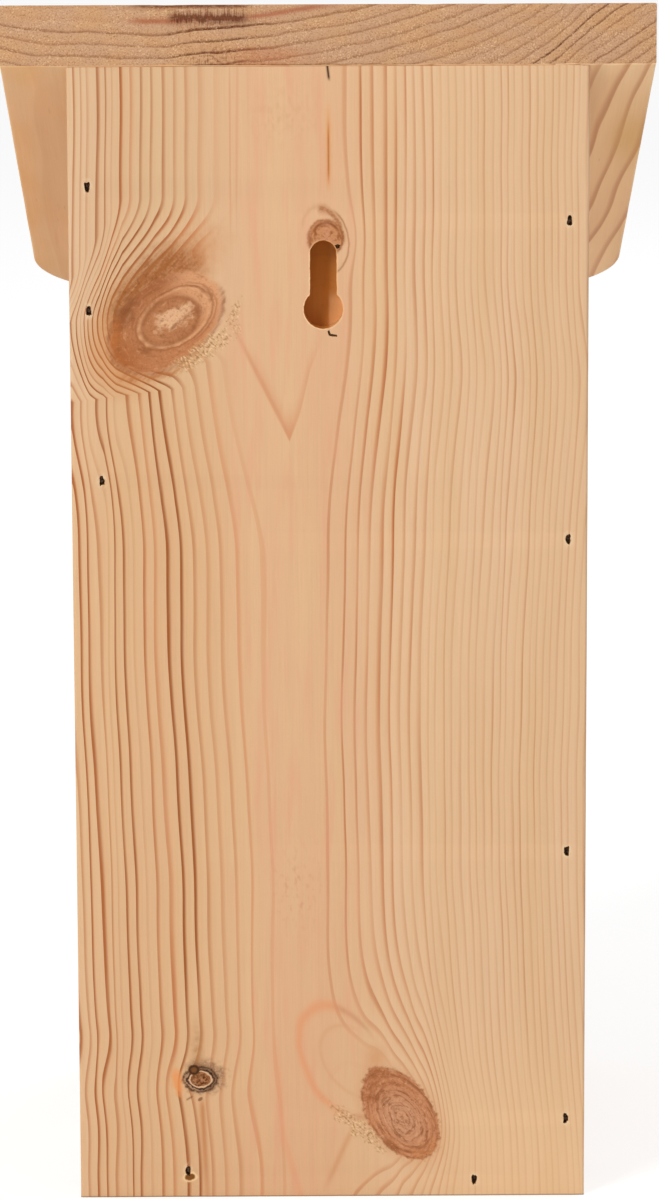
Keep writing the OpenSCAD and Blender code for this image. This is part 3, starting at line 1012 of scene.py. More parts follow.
def growth(f, x, v, w, shrink, small, head):
    """The age of the back panel's wood, held back by its knots, and how far it lies from the pith."""
    part = f.least(1.0, 0.62 / (f.most(small, 0.6) ** 2)) * f.hill(x, -39.2, 9.0) * 0.85
    straight_x = x - (x + 39.2) * part
    part = f.least(1.0, 1.2 / (f.most(head, 0.6) ** 2)) * f.hill(x, -1.1, 16.0) * 0.85
    straight_x = straight_x - (x + 1.1) * part
    sway = f.cloud(x / 90.0 + 5.0, v / 60.0 + 3.0, w / 90.0, 1.0) * 1.6
    pith = PITH_U + f.ease(v, 60.0, 0.0, 0.0, 4.3)
    across = (straight_x - PITH_U) * shrink + PITH_U + sway - pith
    reach = f.span(across, PITH_DEEP - w) - PITH_DEEP
    grown = f.curve(reach / 62.5, LEFT_GROWTH, "VECTOR")
    on_left = f.ease(across, 0.5, -0.5)
    t_left = 16.45 + grown * 26.0
    t_right = 16.93 + reach * 0.5 - f.ease(reach, 6.0, 0.0) * 0.6 + f.most(reach - 8.0, 0.0) * 0.035
    t_right = t_right + f.cloud(reach / 4.0, v / 260.0, 7.0, 1.0) * f.ease(reach, 4.0, 10.0) * 0.5
    t = t_right + (t_left - t_right) * on_left

    inner = f.ease(x, -12.0, -34.0)
    drift = (f.within(v, 45.0, 210.0) - 145.0) * inner * 0.0095
    above = f.ease(v, 195.0, 265.0)
    above = above * (2.2 - inner * 0.55 + f.hill(x, -40.0, 9.0) * 0.4 - f.ease(x, -66.0, -75.0) * 0.7)
    hug = 3.2 + f.ease(x, -76.0, -63.0) * 3.6 - f.ease(x, -56.0, -36.0) * f.ease(v, 266.0, 250.0) * 6.8
    climb = f.within((v - 241.0 - (x + 60.0) * 0.13) / 21.0, 0.0, 1.0)
    shoulder = f.most(-59.5 - x, 0.0) * -1.6 + 299.0
    hug = f.most(hug, 0.0) * climb * (1.5 - climb * climb * 0.5) * f.ease(v, shoulder, 262.0)
    outer = f.ease(x, -54.0, -66.0) * f.hill(v, 233.0, 16.0) * 0.95
    foot = f.ease(v, 52.0, 30.0) * f.ease(x, -15.0, -32.0) * 1.25
    foot = foot + f.ease(v, 25.0, 5.0) * f.ease(x, -45.0, -62.0) * 0.45
    held_left = (drift + above + hug + outer + foot) * f.ease(across, 0.0, -8.0)

    far = f.ease(x, 15.0, 55.0)
    above = f.ease(v, 200.0, 270.0) * (0.4 + f.ease(x, -2.0, 8.0) * 1.1 - far * 0.7)
    lean = f.most((v - 243.0) / 20.0, (243.0 - v) / 50.0)
    above = above + f.fall(lean) * (0.3 + far * 1.5)
    near = f.most((v - 24.0) / 30.0, (24.0 - v) / 16.0)
    beyond = f.most(x - 26.0, 0.0) / 10.0
    push = f.fall(f.span(near, beyond)) * f.ease(x, -8.0, 18.0) * 5.2
    push = push + f.ease(x, 18.0, 28.0) * 0.25
    foot = f.ease(v, 110.0, 50.0) * 0.65 + f.ease(v, 45.0, 15.0) * f.ease(x, 52.0, 40.0) * 1.1
    held_right = (above + push + foot * f.ease(x, 0.0, 25.0)) * f.ease(across, 0.0, 8.0)
    t = t - held_left - held_right

    tongue = v - 228.0 - f.most((x + 11.5) * -1.93, (x + 11.5) * 3.9)
    loop = f.oval(x, v, 4.0, 41.5, 18.0, 11.0, -55.0)
    plain = 16.42 - f.ease(tongue, -14.0, 14.0) * 0.95 - f.ease(loop, 1.2, 0.75) * 0.95
    t = f.maths("SMOOTH_MAX", t, plain, 0.9)
    return t + f.cloud(x / 9.0, v / 55.0, w / 9.0, 1.0) * 0.14, across


def tongue_and_loop(f, colour, x, y, v):
    """Where the flat-sawn middle ends in a pointed tongue, and the soft loop beside the low knot."""
    tongue = v - 227.6 - f.most((x + 11.6) * -2.0, (x + 11.6) * 2.6 + f.ease(x, -9.0, -5.0) * 5.0)
    fill = f.ease(tongue, -0.8, 0.6)
    rim = fill * f.ease(tongue, 9.0, 0.5) * f.ease(v, 262.0, 244.0) * 0.5
    tip = fill * f.ease(v, 240.0, 228.0) * 0.75
    colour = f.blend(f.most(rim, tip), colour, shade(210, 142, 101))
    edge = f.hill(tongue, 1.4, 1.3) * f.ease(v, 268.0, 254.0) * f.ease(x, -9.0, -12.0)
    colour = f.blend(edge * 0.45, colour, shade(206, 142, 100))
    bend = -16.7 + (46.0 - y) * 0.076 + f.most(19.0 - y, 0.0) * 0.2
    band = f.hill(x, bend, 1.2) * f.ease(y, 56.0, 36.0)
    colour = f.blend(band * 0.5, colour, shade(226, 158, 118))
    loop = f.oval(x, y, 3.4, 41.5, 18.5, 11.4, -64.0) + f.cloud(x / 12.0, y / 12.0, 2.0, 1.0) * 0.08
    band = f.hill(loop, 1.0, 0.1) * f.ease(x, 9.0, -3.0)
    colour = f.blend(band * 0.8, colour, shade(226, 156, 112))
    line = f.hill(loop, 1.0, 0.06) * f.ease(x, -2.0, 5.0) * f.ease(x, 14.0, 8.0)
    colour = f.blend(line * 0.5, colour, shade(190, 130, 90))
    line = f.hill(f.oval(x, y, 6.6, 41.5, 12.5, 8.2, -52.0), 1.0, 0.07) * f.ease(x, 12.0, 2.0)
    colour = f.blend(line * 0.45, colour, shade(214, 158, 116))
    warm = f.hill(x, 13.0, 3.4) * f.hill(y, 43.0, 3.4)
    colour = f.blend(warm * 0.6, colour, shade(210, 146, 98))
    foot = f.hill(x, 5.6 + (y - 20.0) * 0.44, 1.0) * f.ease(y, 0.0, 8.0) * f.ease(y, 23.0, 18.0)
    return f.blend(foot * 0.5, colour, shade(206, 140, 96))


def resin_specks(f, colour, x, y, place, seed):
    """Torn grain beside a knot: a pale ground with slanting dark flecks. place is 1 on the zone's rim."""
    zone = f.ease(place + f.cloud(x / 2.5, y / 2.5, seed, 2.0) * 0.9, 1.25, 0.6)
    flecks = f.cloud((x + y) / 0.75, (y - x) / 1.5, seed, 2.0)
    colour = f.blend(zone * 0.5, colour, shade(210, 166, 118))
    colour = f.blend(zone * f.ease(flecks, 0.05, 0.3) * 0.62, colour, shade(134, 94, 52))
    return f.blend(zone * f.ease(flecks, -0.08, -0.3) * 0.6, colour, shade(244, 208, 164))


def large_knot(f, colour, x, y, w, big, core):
    """The large knot: a brown wing above it, an oval body and a smaller pale-hearted oval inside."""
    grit = f.cloud(x / 0.7, y / 0.7, w / 0.9, 3.0)
    blotch = f.cloud(x / 2.6, y / 2.6, w / 6.0, 3.0)
    streaks = f.cloud((x * 0.7 + y * 0.714) / 9.0, (y * 0.7 - x * 0.714) / 1.1, w / 3.0, 3.0)
    wander = blotch * 0.07
    wing = f.ease(f.oval(x, y, -43.0, 278.0, 16.0, 8.5, 42.0) + wander * 2.5, 1.3, 0.3)
    colour = f.blend(wing * (0.62 + streaks * 0.3), colour, shade(206, 138, 88))
    wing = f.ease(f.oval(x, y, -50.0, 271.6, 16.5, 9.4, 47.0) + wander * 3.0, 1.3, 0.6)
    wing = wing * (0.8 + streaks * 0.8 + grit * 0.45)
    colour = f.blend(f.within(wing, 0.0, 0.95), colour, shade(158, 94, 48))
    mottle = f.cloud(x / 1.3, y / 1.3, w / 2.0 + 2.0, 3.0, 0.6)
    dark = f.ease(mottle, 0.0, 0.4) * f.ease(f.oval(x, y, -51.5, 269.5, 14.0, 8.0, 45.0), 1.3, 0.5)
    colour = f.blend(dark * 0.6, colour, shade(118, 68, 32))

    ahead, upward = f.in_oval(x, y, -47.5, 262.0, 18.0, 11.5, 36.0)
    arcs = f.arcs(x, y, LARGE_RINGS, 9.0, 1.0)
    inside = f.blend(f.ease(ahead, -0.95, -0.45), shade(168, 97, 50), shade(180, 116, 74))
    inside = f.blend(f.ease(ahead, 0.2, 0.75), inside, shade(214, 154, 110))
    inside = f.blend(f.ease(upward, -0.2, -0.9, 0.0, 0.6), inside, shade(194, 126, 82))
    band = f.hill(big, 0.95, 0.2) * f.ease(upward, 0.0, 0.6) * f.ease(ahead, 0.9, 0.3)
    inside = f.blend(band * 0.8, inside, shade(154, 90, 50))
    inside = f.blend(f.ease(arcs, 0.0, 0.4, 0.0, 0.6), inside, shade(140, 82, 42))
    inside = f.blend(f.ease(arcs, -0.1, -0.5, 0.0, 0.5), inside, shade(214, 156, 108))
    inside = f.blend(f.ease(grit, 0.05, 0.6, 0.0, 0.5), inside, UMBER)
    dark = f.ease(mottle, 0.1, 0.45, 0.0, 0.45) * f.ease(ahead, 0.5, -0.2)
    inside = f.blend(dark, inside, shade(128, 74, 36))
    inside = f.blend(f.ease(mottle, -0.1, -0.45, 0.0, 0.35), inside, shade(216, 160, 116))
    amber = f.ease(f.oval(x, y, -62.8, 259.5, 3.2, 7.0, -12.0) + wander * 3.0 + grit * 0.4, 1.3, 0.4)
    inside = f.blend(amber * 0.6, inside, shade(190, 112, 56))
    body = f.ease(big + wander, 1.05, 0.93)
    colour = f.blend(body, colour, inside)
    rim = f.hill(big + wander, 1.02, 0.04) * (0.5 + streaks * 0.8)
    rim = rim * f.most(f.ease(upward, 0.1, -0.3), f.ease(ahead, -0.4, -0.8))
    colour = f.blend(f.within(rim, 0.0, 0.8), colour, shade(146, 82, 44))
    rim = f.hill(big + wander * 1.5, 1.1, 0.09) * f.ease(upward, -0.2, -0.7) * f.ease(ahead, 0.5, 0.0)
    colour = f.blend(rim * f.ease(streaks, -0.4, 0.3, 0.3, 0.9), colour, shade(178, 108, 58))

    arcs = f.arcs(x, y, LARGE_CORE, 4.2, 5.0)
    du, dv = x - LARGE_CORE[0], y - LARGE_CORE[1]
    reach = f.span(du, dv, 0.5)
    rays = f.cloud(du / reach * 7.0, dv / reach * 7.0, reach / 14.0, 3.0)
    pale = f.oval(x, y, -44.9, 264.0, 7.2, 3.4, 26.0) + blotch * 0.8 + rays * 0.22
    heart = f.blend(f.ease(pale, 0.5, 1.1), shade(222, 172, 130), shade(180, 118, 76))
    heart = f.blend(f.ease(mottle, 0.05, 0.4, 0.0, 0.4), heart, shade(150, 98, 60))
    heart = f.blend(f.ease(arcs, 0.0, 0.4, 0.0, 0.6), heart, shade(142, 86, 48))
    heart = f.blend(f.ease(arcs, -0.1, -0.5, 0.0, 0.5), heart, shade(228, 176, 132))
    heart = f.blend(f.ease(rays, 0.1, 0.4, 0.0, 0.3) * f.ease(core, 0.4, 0.8), heart, shade(136, 82, 46))
    heart = f.blend(f.ease(grit, 0.0, 0.55, 0.0, 0.45), heart, UMBER)
    colour = f.blend(f.ease(core + wander, 1.04, 0.9), colour, heart)
    band = f.hill(core + wander, 0.95, 0.1) * f.ease(blotch, -0.4, 0.3, 0.3, 1.0)
    colour = f.blend(band * 0.7, colour, shade(146, 88, 50))
    halo = f.oval(x, y, -44.7, 263.6, 11.2, 7.1, 33.0) + wander
    ring = f.hill(halo, 1.0, 0.06) * f.ease(blotch, 0.4, -0.4, 0.15, 1.0)
    colour = f.blend(ring * 0.7, colour, shade(222, 166, 120))
    colour = f.blend(f.hill(halo, 1.1, 0.035) * 0.55, colour, shade(146, 88, 50))
    colour = f.blend(f.hill(halo, 1.2, 0.03) * f.ease(x, -44.0, -38.0) * 0.5, colour, shade(160, 100, 62))
    pith = f.oval(x, y, -44.8, 261.2, 1.6, 0.5, 48.0) + grit * 0.5
    colour = f.blend(f.ease(pith, 1.4, 0.5, 0.0, 0.65), colour, UMBER)
    crack = f.oval(x, y, -59.0, 264.6, 5.2, 2.6, 58.0) + grit * 0.8 + rays * 1.2
    colour = f.blend(f.ease(crack, 1.35, 0.6, 0.0, 0.34), colour, shade(108, 58, 26))
    place = f.oval(x, y, -35.8, 254.3, 11.5, 2.7, 33.0)
    colour = resin_specks(f, colour, x, y, place, 4.0)
    place = f.oval(x, y, -27.6, 264.5, 5.5, 1.3, 66.0)
    return resin_specks(f, colour, x, y, place, 9.0)


def low_knot(f, colour, x, y, w, low):
    """The low knot: fine close rings round a paler heart, rough and darker at its upper end."""
    blotch = f.cloud(x / 2.6, y / 2.6, w / 6.0, 3.0)
    wander = blotch * 0.07
    grit = f.cloud(x / 0.7, y / 0.7, w / 0.9, 3.0)
    mottle = f.cloud(x / 1.3, y / 1.3, w / 2.0 + 2.0, 3.0, 0.6)
    low = low - f.hill(x, 12.0, 2.6) * f.hill(y, 39.4, 2.6) * 0.07
    round_heart = f.oval(x, y, *LOW_RINGS)
    arcs = f.arcs(x, y, LOW_RINGS, 11.0, 2.0)
    ahead = f.in_oval(x, y, *LOW_KNOT)[0]
    inside = f.blend(f.ease(round_heart, 0.3, 0.9), shade(204, 148, 110), shade(198, 134, 92))
    rough = f.ease(ahead + blotch * 0.9, -0.35, -0.8) * f.ease(mottle, -0.3, 0.2, 0.45, 1.0)
    inside = f.blend(rough * 0.75, inside, shade(164, 98, 56))
    rings = f.maths("SINE", (round_heart + wander * 1.6 + grit * 0.02) * 38.0)
    fresh = f.ease(mottle, -0.25, 0.25, 0.15, 1.0) * f.ease(round_heart, 1.0, 0.7, 0.35, 1.0)
    inside = f.blend(f.ease(rings, 0.2, 1.0, 0.0, 0.62) * fresh, inside, shade(138, 78, 44))
    inside = f.blend(f.ease(arcs, -0.05, 0.4, 0.0, 0.68), inside, shade(134, 76, 42))
    inside = f.blend(f.ease(arcs, -0.05, -0.5, 0.0, 0.5), inside, shade(228, 174, 132))
    dark = f.ease(mottle, 0.05, 0.4, 0.0, 0.5) * f.ease(round_heart, 0.4, 0.8)
    inside = f.blend(dark, inside, shade(160, 98, 58))
    inside = f.blend(f.ease(ahead + blotch * 0.3, 0.7, 0.95, 0.0, 0.6), inside, shade(206, 136, 86))
    scorch = f.ease(f.oval(x, y, 16.9, 15.6, 3.6, 1.8, -42.0) + mottle, 1.3, 0.4)
    inside = f.blend(scorch * 0.6, inside, shade(140, 80, 38))
    inside = f.blend(f.ease(grit, 0.0, 0.6, 0.0, 0.45), inside, UMBER)
    inside = f.blend(f.ease(grit, -0.25, -0.55, 0.0, 0.7), inside, shade(234, 184, 142))
    colour = f.blend(f.ease(low, 1.35, 1.0, 0.0, 0.3), colour, shade(208, 146, 100))
    colour = f.blend(f.ease(low + wander, 1.03, 0.96), colour, inside)
    rim = f.hill(low + wander, 0.99, 0.05) * f.ease(mottle, -0.1, 0.3)
    colour = f.blend(rim * 0.6, colour, shade(146, 86, 48))
    place = f.oval(x, y, 7.6, 21.4, 10.5, 2.4, -41.0)
    return resin_specks(f, colour, x, y, place, 7.0)


def small_knot(f, colour, x, y, w, small):
    """The small loose knot: two black rings with a pale one between them, and a smoky smudge round it."""
    smoke = f.cloud(x / 1.6, y / 1.6, w / 3.0, 3.0)
    grit = f.cloud(x / 0.6, y / 0.6, w / 0.9, 2.0)
    streak = f.hill(x, -39.9, 1.8) * f.ease(y, 60.0, 44.0) * f.ease(y, 36.0, 40.0)
    colour = f.blend(streak * (0.5 + smoke * 0.5), colour, shade(176, 122, 74))
    streak = f.hill(x, -38.2 + (20.0 - y) * 0.05, 0.9) * f.ease(y, 33.0, 27.0)
    colour = f.blend(streak * f.ease(y, -8.0, 22.0, 0.45, 1.0) * 0.7, colour, shade(190, 118, 66))
    amber = f.ease(f.oval(x, y, -45.9, 35.6, 1.8, 4.4, 8.0) + smoke * 0.6, 1.3, 0.4)
    colour = f.blend(amber * 0.8, colour, shade(232, 150, 88))
    smudge = f.ease(f.oval(x, y, -38.4, 37.0, 6.6, 5.2, 0.0) + smoke * 0.5, 1.3, 0.6, 0.0, 0.8)
    smudge = smudge * f.ease(x, -45.0, -42.0)
    colour = f.blend(smudge * f.ease(grit, -0.4, 0.3, 0.55, 1.0), colour, shade(124, 84, 58))
    near = small + smoke * 0.22
    ring = f.hill(near, 1.06, 0.12) * f.ease(grit, 0.3, -0.3, 0.5, 1.0)
    colour = f.blend(ring, colour, shade(58, 30, 14))
    ring = f.hill(near, 0.93, 0.04) * f.ease(x, -38.0, -41.0)
    colour = f.blend(ring * 0.8, colour, shade(206, 162, 126))
    colour = f.blend(f.hill(near, 0.84, 0.08) * 0.95, colour, shade(44, 20, 8))
    inside = f.blend(f.ease(grit, -0.3, 0.3), shade(164, 106, 62), shade(92, 46, 18))
    inside = f.blend(f.ease(smoke, 0.0, -0.4, 0.0, 0.6), inside, shade(196, 146, 104))
    colour = f.blend(f.ease(small + smoke * 0.1, 0.78, 0.72), colour, shade(222, 178, 140))
    colour = f.blend(f.ease(small + smoke * 0.14, 0.69, 0.6), colour, inside)
    eye = f.oval(x, y, -41.0, 39.2, 1.25, 1.15, 0.0) + grit * 0.25
    colour = f.blend(f.ease(eye, 1.5, 1.2), colour, shade(122, 76, 38))
    colour = f.blend(f.hill(eye, 1.0, 0.35) * 0.85, colour, shade(52, 28, 14))
    tear = f.hill(y, 30.4 + (x + 42.6) * 0.55, 0.35) * f.ease(x, -43.6, -43.0) * f.ease(x, -41.0, -41.8)
    colour = f.blend(tear * 0.7, colour, shade(128, 84, 48))
    fleck = f.oval(x, y, -39.2, 30.2, 0.8, 0.5, 40.0)
    return f.blend(f.ease(fleck, 1.3, 0.7, 0.0, 0.7), colour, shade(112, 66, 30))


def head_knot(f, colour, x, y, w, head):
    """The knot that the keyhole's slot was cut into, with a flame of grain above it."""
    wander = f.cloud(x / 2.0, y / 2.0, w / 5.0, 2.0) * 0.08
    grit = f.cloud(x / 0.6, y / 0.6, w / 0.9, 3.0)
    arcs = f.arcs(x, y, HEAD_RINGS, 3.6, 6.0)
    flame = f.oval(x, y, -1.5, 287.0, 6.1, 9.2, 12.0)
    tongue = f.hill(flame + wander, 0.88, 0.12) * f.ease(x, -3.6, -2.2) * f.ease(y, 284.0, 287.0)
    colour = f.blend(f.least(tongue * (0.85 + grit * 0.5), 0.9), colour, shade(166, 104, 58))
    hook = f.hill(flame + wander, 0.98, 0.07) * f.ease(x, -1.6, -2.6) * f.ease(y, 288.0, 291.0)
    colour = f.blend(hook * 0.22, colour, shade(182, 118, 72))
    outer = f.oval(x, y, -0.8, 285.8, 6.5, 9.6, 8.0) + wander * 0.5
    colour = f.blend(f.hill(outer, 1.0, 0.04) * f.ease(x, 1.0, 3.0) * 0.75, colour, shade(164, 110, 66))
    inside = f.blend(f.ease(arcs, -0.1, 0.35), shade(198, 136, 92), shade(152, 90, 46))
    inside = f.blend(f.ease(grit, 0.0, 0.5, 0.0, 0.4), inside, shade(140, 80, 40))
    colour = f.blend(f.ease(head + wander, 1.04, 0.92), colour, inside)
    rim = f.hill(head + wander, 0.97, 0.07) * f.ease(grit, -0.5, 0.4, 0.4, 1.0)
    colour = f.blend(rim * 0.7, colour, shade(150, 90, 48))
    brow = f.hill(f.oval(x, y, -0.8, 286.2, 4.2, 4.7, 0.0), 1.0, 0.08) * f.ease(y, 287.0, 290.0)
    colour = f.blend(brow * 0.85, colour, shade(132, 72, 32))
    lens = f.hill(x, f.cloud(y / 9.0, 4.0, 1.0, 1.0) * 0.3, 0.75) * f.ease(y, 298.0, 306.0)
    colour = f.blend(lens * f.ease(y, 328.0, 316.0) * 0.75, colour, shade(222, 148, 88))
    lens = f.hill(x, 0.0, 0.28) * f.ease(y, 301.0, 307.0) * f.ease(y, 322.0, 314.0)
    colour = f.blend(lens * 0.8, colour, shade(172, 102, 46))
    # Painted shade: a small notch at the top edge, drawn as a dark line.
    notch = f.hill(x + (y - 334.0) * 0.12, 0.0, 0.38) * f.ease(y, 331.2, 333.0)
    return f.blend(notch, colour, shade(64, 34, 20))


def handling_marks(f, colour, x, y):
    """Pink streaks and rubs in the plain middle, and a pale painted highlight round the keyhole's rim."""
    blush = f.ease(f.cloud(x / 3.2, y / 34.0, 6.0, 2.0), -0.05, 0.45)
    blush = blush * f.ease(x, -36.0, -24.0) * f.ease(x, 16.0, 4.0)
    colour = f.blend(blush * 0.45, colour, shade(222, 160, 126))
    faint = f.ease(f.cloud(x / 1.3, y / 90.0, 14.0, 1.0), 0.12, 0.36)
    faint = faint * f.hill(x, -30.0, 6.5) * f.ease(y, 262.0, 282.0)
    colour = f.blend(faint * 0.5, colour, shade(208, 142, 104))
    rub = f.cloud(x / 1.4, y / 2.6, 3.0, 3.0)
    place = f.hill(x, -10.0, 6.0) * f.hill(y, 94.0, 11.0)
    colour = f.blend(place * f.ease(rub, 0.0, 0.45) * 0.45, colour, shade(196, 122, 96))
    place = f.hill(x, -13.0, 9.0) * f.hill(y, 322.0, 8.0) + f.hill(x, -36.0, 9.0) * f.hill(y, 288.0, 3.0)
    colour = f.blend(place * f.ease(rub, -0.2, 0.5) * 0.25, colour, shade(196, 132, 92))
    nearest = 100.0
    for node in rows_in(back):
        for pin in head_places[node]:
            nearest = f.least(nearest, f.span((x - pin.x) / 1.1, (y - pin.y) / 1.7))
    bruise = f.hill(nearest + rub * 1.2, 1.1, 0.4) * f.ease(rub, -0.3, 0.25)
    colour = f.blend(bruise * 0.6, colour, shade(238, 212, 172))
    chip = f.oval(x, y, -42.5, 6.2, 1.5, 1.0, 10.0) + rub * 0.6
    colour = f.blend(f.hill(chip, 1.3, 0.3) * 0.8, colour, shade(244, 210, 156))
    colour = f.blend(f.ease(chip, 1.15, 0.7), colour, shade(128, 78, 30))
    # Painted highlight: a pale halo round the keyhole's rim, strongest on its left, seen from behind.
    mouth_u, mouth_v, _ = back.of(mouth)
    du, dv = x - mouth_u, y - mouth_v
    slot = f.span(du, f.most(dv - SLOT_RISE, f.least(dv, 0.0))) - SLOT_W / 2
    rim = f.least(slot, f.span(du, dv) - MOUTH_R) + rub * 0.25
    side = f.ease(du, 6.0, -2.0, 0.35, 1.0) * f.ease(dv, 22.0, 15.0)
    return f.blend(f.ease(rim, 0.62, 0.2) * side * 0.85, colour, shade(248, 204, 156))


def crushed_wood():
    """Fibres crushed round a pin, darkened by its iron."""
    f = new_finish("crushed fibres")
    spots = f.spots(2600.0, 3.0)
    colour = f.blend(f.ease(spots, 0.38, 0.62), shade(70, 38, 16), shade(146, 104, 64))
    return f.close(colour, 0.85, spots, 0.12)


def routed_wood():
    """The keyhole's walls and bed, burnished brown by the bit, with painted light on its right and painted
    shade on its left.
    """
    f = new_finish("routed pine")
    u, v, w = f.axes(back)
    grain = f.cloud(u / 0.9, v / 12.0, w / 0.9, 3.0)
    mouth_u, mouth_v, _ = back.of(mouth)
    sweep = f.cloud(f.span(u - mouth_u, v - mouth_v) / 0.9, u / 9.0, v / 9.0, 2.0)
    colour = f.blend(f.ease(v, 262.0, 274.0), shade(206, 136, 64), shade(207, 129, 50))
    colour = f.blend(f.ease(grain, -0.5, 0.5, 0.0, 0.35), colour, shade(192, 116, 50))
    colour = f.blend(f.ease(sweep, 0.0, 0.5, 0.0, 0.2), colour, shade(172, 100, 42))
    # Painted light: the right side of the mouth's bed, seen from behind, is drawn paler, as where the key
    # lamp reaches it.
    painted_light_bed = f.ease(u + grain * 0.5, -0.5, 0.5) * f.ease(v, 271.5, 267.0)
    colour = f.blend(painted_light_bed * 0.9, colour, shade(236, 178, 118))
    # Painted light: a paler strip along the right of the slot.
    strip = f.ease(u, -0.2, 1.2) * f.ease(v, 267.0, 271.5)
    colour = f.blend(strip * 0.35, colour, shade(226, 160, 92))
    # Painted shade: the upper walls on the left are drawn darker, as in the shadow of the lip.
    painted_shade_walls = f.ease(w, 3.0, 1.2, 0.0, 0.55) * f.ease(u, 1.0, -3.0)
    colour = f.blend(painted_shade_walls, colour, shade(150, 84, 34))
    return f.close(colour, 0.65, grain, 0.03)


def pin_steel():
    """Dull wire with a little rust."""
    f = new_finish("dull pin steel")
    spots = f.spots(1800.0, 4.0)
    rust = f.ease(spots, 0.42, 0.58)
    colour = f.blend(rust, shade(112, 88, 64), shade(64, 34, 16))
    return f.close(colour, 0.5 + rust * 0.35, spots, 0.08, 0.8 - rust * 0.7, 1.5)


crushed = crushed_wood()


def board_wood(name, board, heart_u, heart_w, ring, seed, knots=()):
    """A board's face, end grain and crushed fibres, in the order that its shell uses."""
    return [pine(name + " pine", board, heart_u, heart_w, ring, seed, knots),
            end_pine(name + " end grain", board, heart_u, heart_w, ring, seed), crushed]


front_knots = [(-38.0, 84.0, 7.0), (44.0, 226.0, 4.5)]
front_wood = board_wood("front panel", front, 22.0, 60.0, 2.6, 2.0, front_knots)
left_wood = board_wood("left side", left, -30.0, 48.0, 2.4, 3.0, [(20.0, 190.0, 8.0)])
right_wood = board_wood("right side", right, 12.0, -70.0, 2.8, 4.0, [(-24.0, 96.0, 6.0)])
floor_wood = board_wood("floor", bottom, -10.0, 70.0, 2.7, 5.0)
back_end = end_pine("back panel end grain", back, PITH_U, PITH_DEEP, 2.1, 1.0)
back_wood = [back_pine(), back_end, crushed, routed_wood()]
roof_wood = [roof_pine(), roof_end_pine(), crushed]

show("back_panel_board", back_panel_mesh(), back_wood, "back_panel")
show("front_panel_board", front_panel_mesh(), front_wood, "front_panel")
show("left_side_board", side_mesh("left_side_wood", left, 41), left_wood, "left_side")
show("right_side_board", side_mesh("right_side_wood", right, 51), right_wood, "right_side")
show("floor_board_wood", floor_mesh(), floor_wood, "floor_board")
show("roof_board_wood", roof_mesh(), roof_wood, "roof_board")


# ---------------------------------------------------------------- pins, by Geometry Nodes

class Recipe(Tree):
    """A Geometry Nodes tree, with named inputs for its sizes."""

    def __init__(self, name):
        super().__init__(bpy.data.node_groups.new(name, "GeometryNodeTree"))
        for way in ("OUTPUT", "INPUT"):
            self.tree.interface.new_socket("Geometry", in_out=way, socket_type="NodeSocketGeometry")
        self.start = self.node("NodeGroupInput")
        self.places = Value(self, self.start.outputs["Geometry"])
        self.names = {}

    def size(self, name, kind, value=None):
        """A named input of the tree, for what it brings in."""
        socket = self.tree.interface.new_socket(name, in_out="INPUT", socket_type="NodeSocket" + kind)
        if value is not None:
            socket.default_value = value
        self.names[name] = socket.identifier
        return Value(self, self.start.outputs[name])

    def make(self, data, name, values):
        """Runs the tree on a mesh and returns the plain mesh that it makes."""
        holder = bpy.data.objects.new(name + "_places", data)
        scene.collection.objects.link(holder)
        modifier = holder.modifiers.new("recipe", "NODES")
        modifier.node_group = self.tree
        for key, value in values.items():
            modifier[self.names[key]] = value
        bpy.context.view_layer.update()
        seen = holder.evaluated_get(bpy.context.evaluated_depsgraph_get())
        made = bpy.data.meshes.new_from_object(seen)
        made.name = name
        holder.modifiers.remove(modifier)
        bpy.data.objects.remove(holder)
        return made


# The wire is a little slimmer than its solid, so that it stays inside the wood.
PIN_SIZES = {
    "Shank Length": SHANK_L * MM,
    "Shank Width": SHANK_W * MM * 0.95,
    "Head Size": (HEAD_W * MM * 0.86, HEAD_L * MM * 0.88, HEAD_T * MM),
}


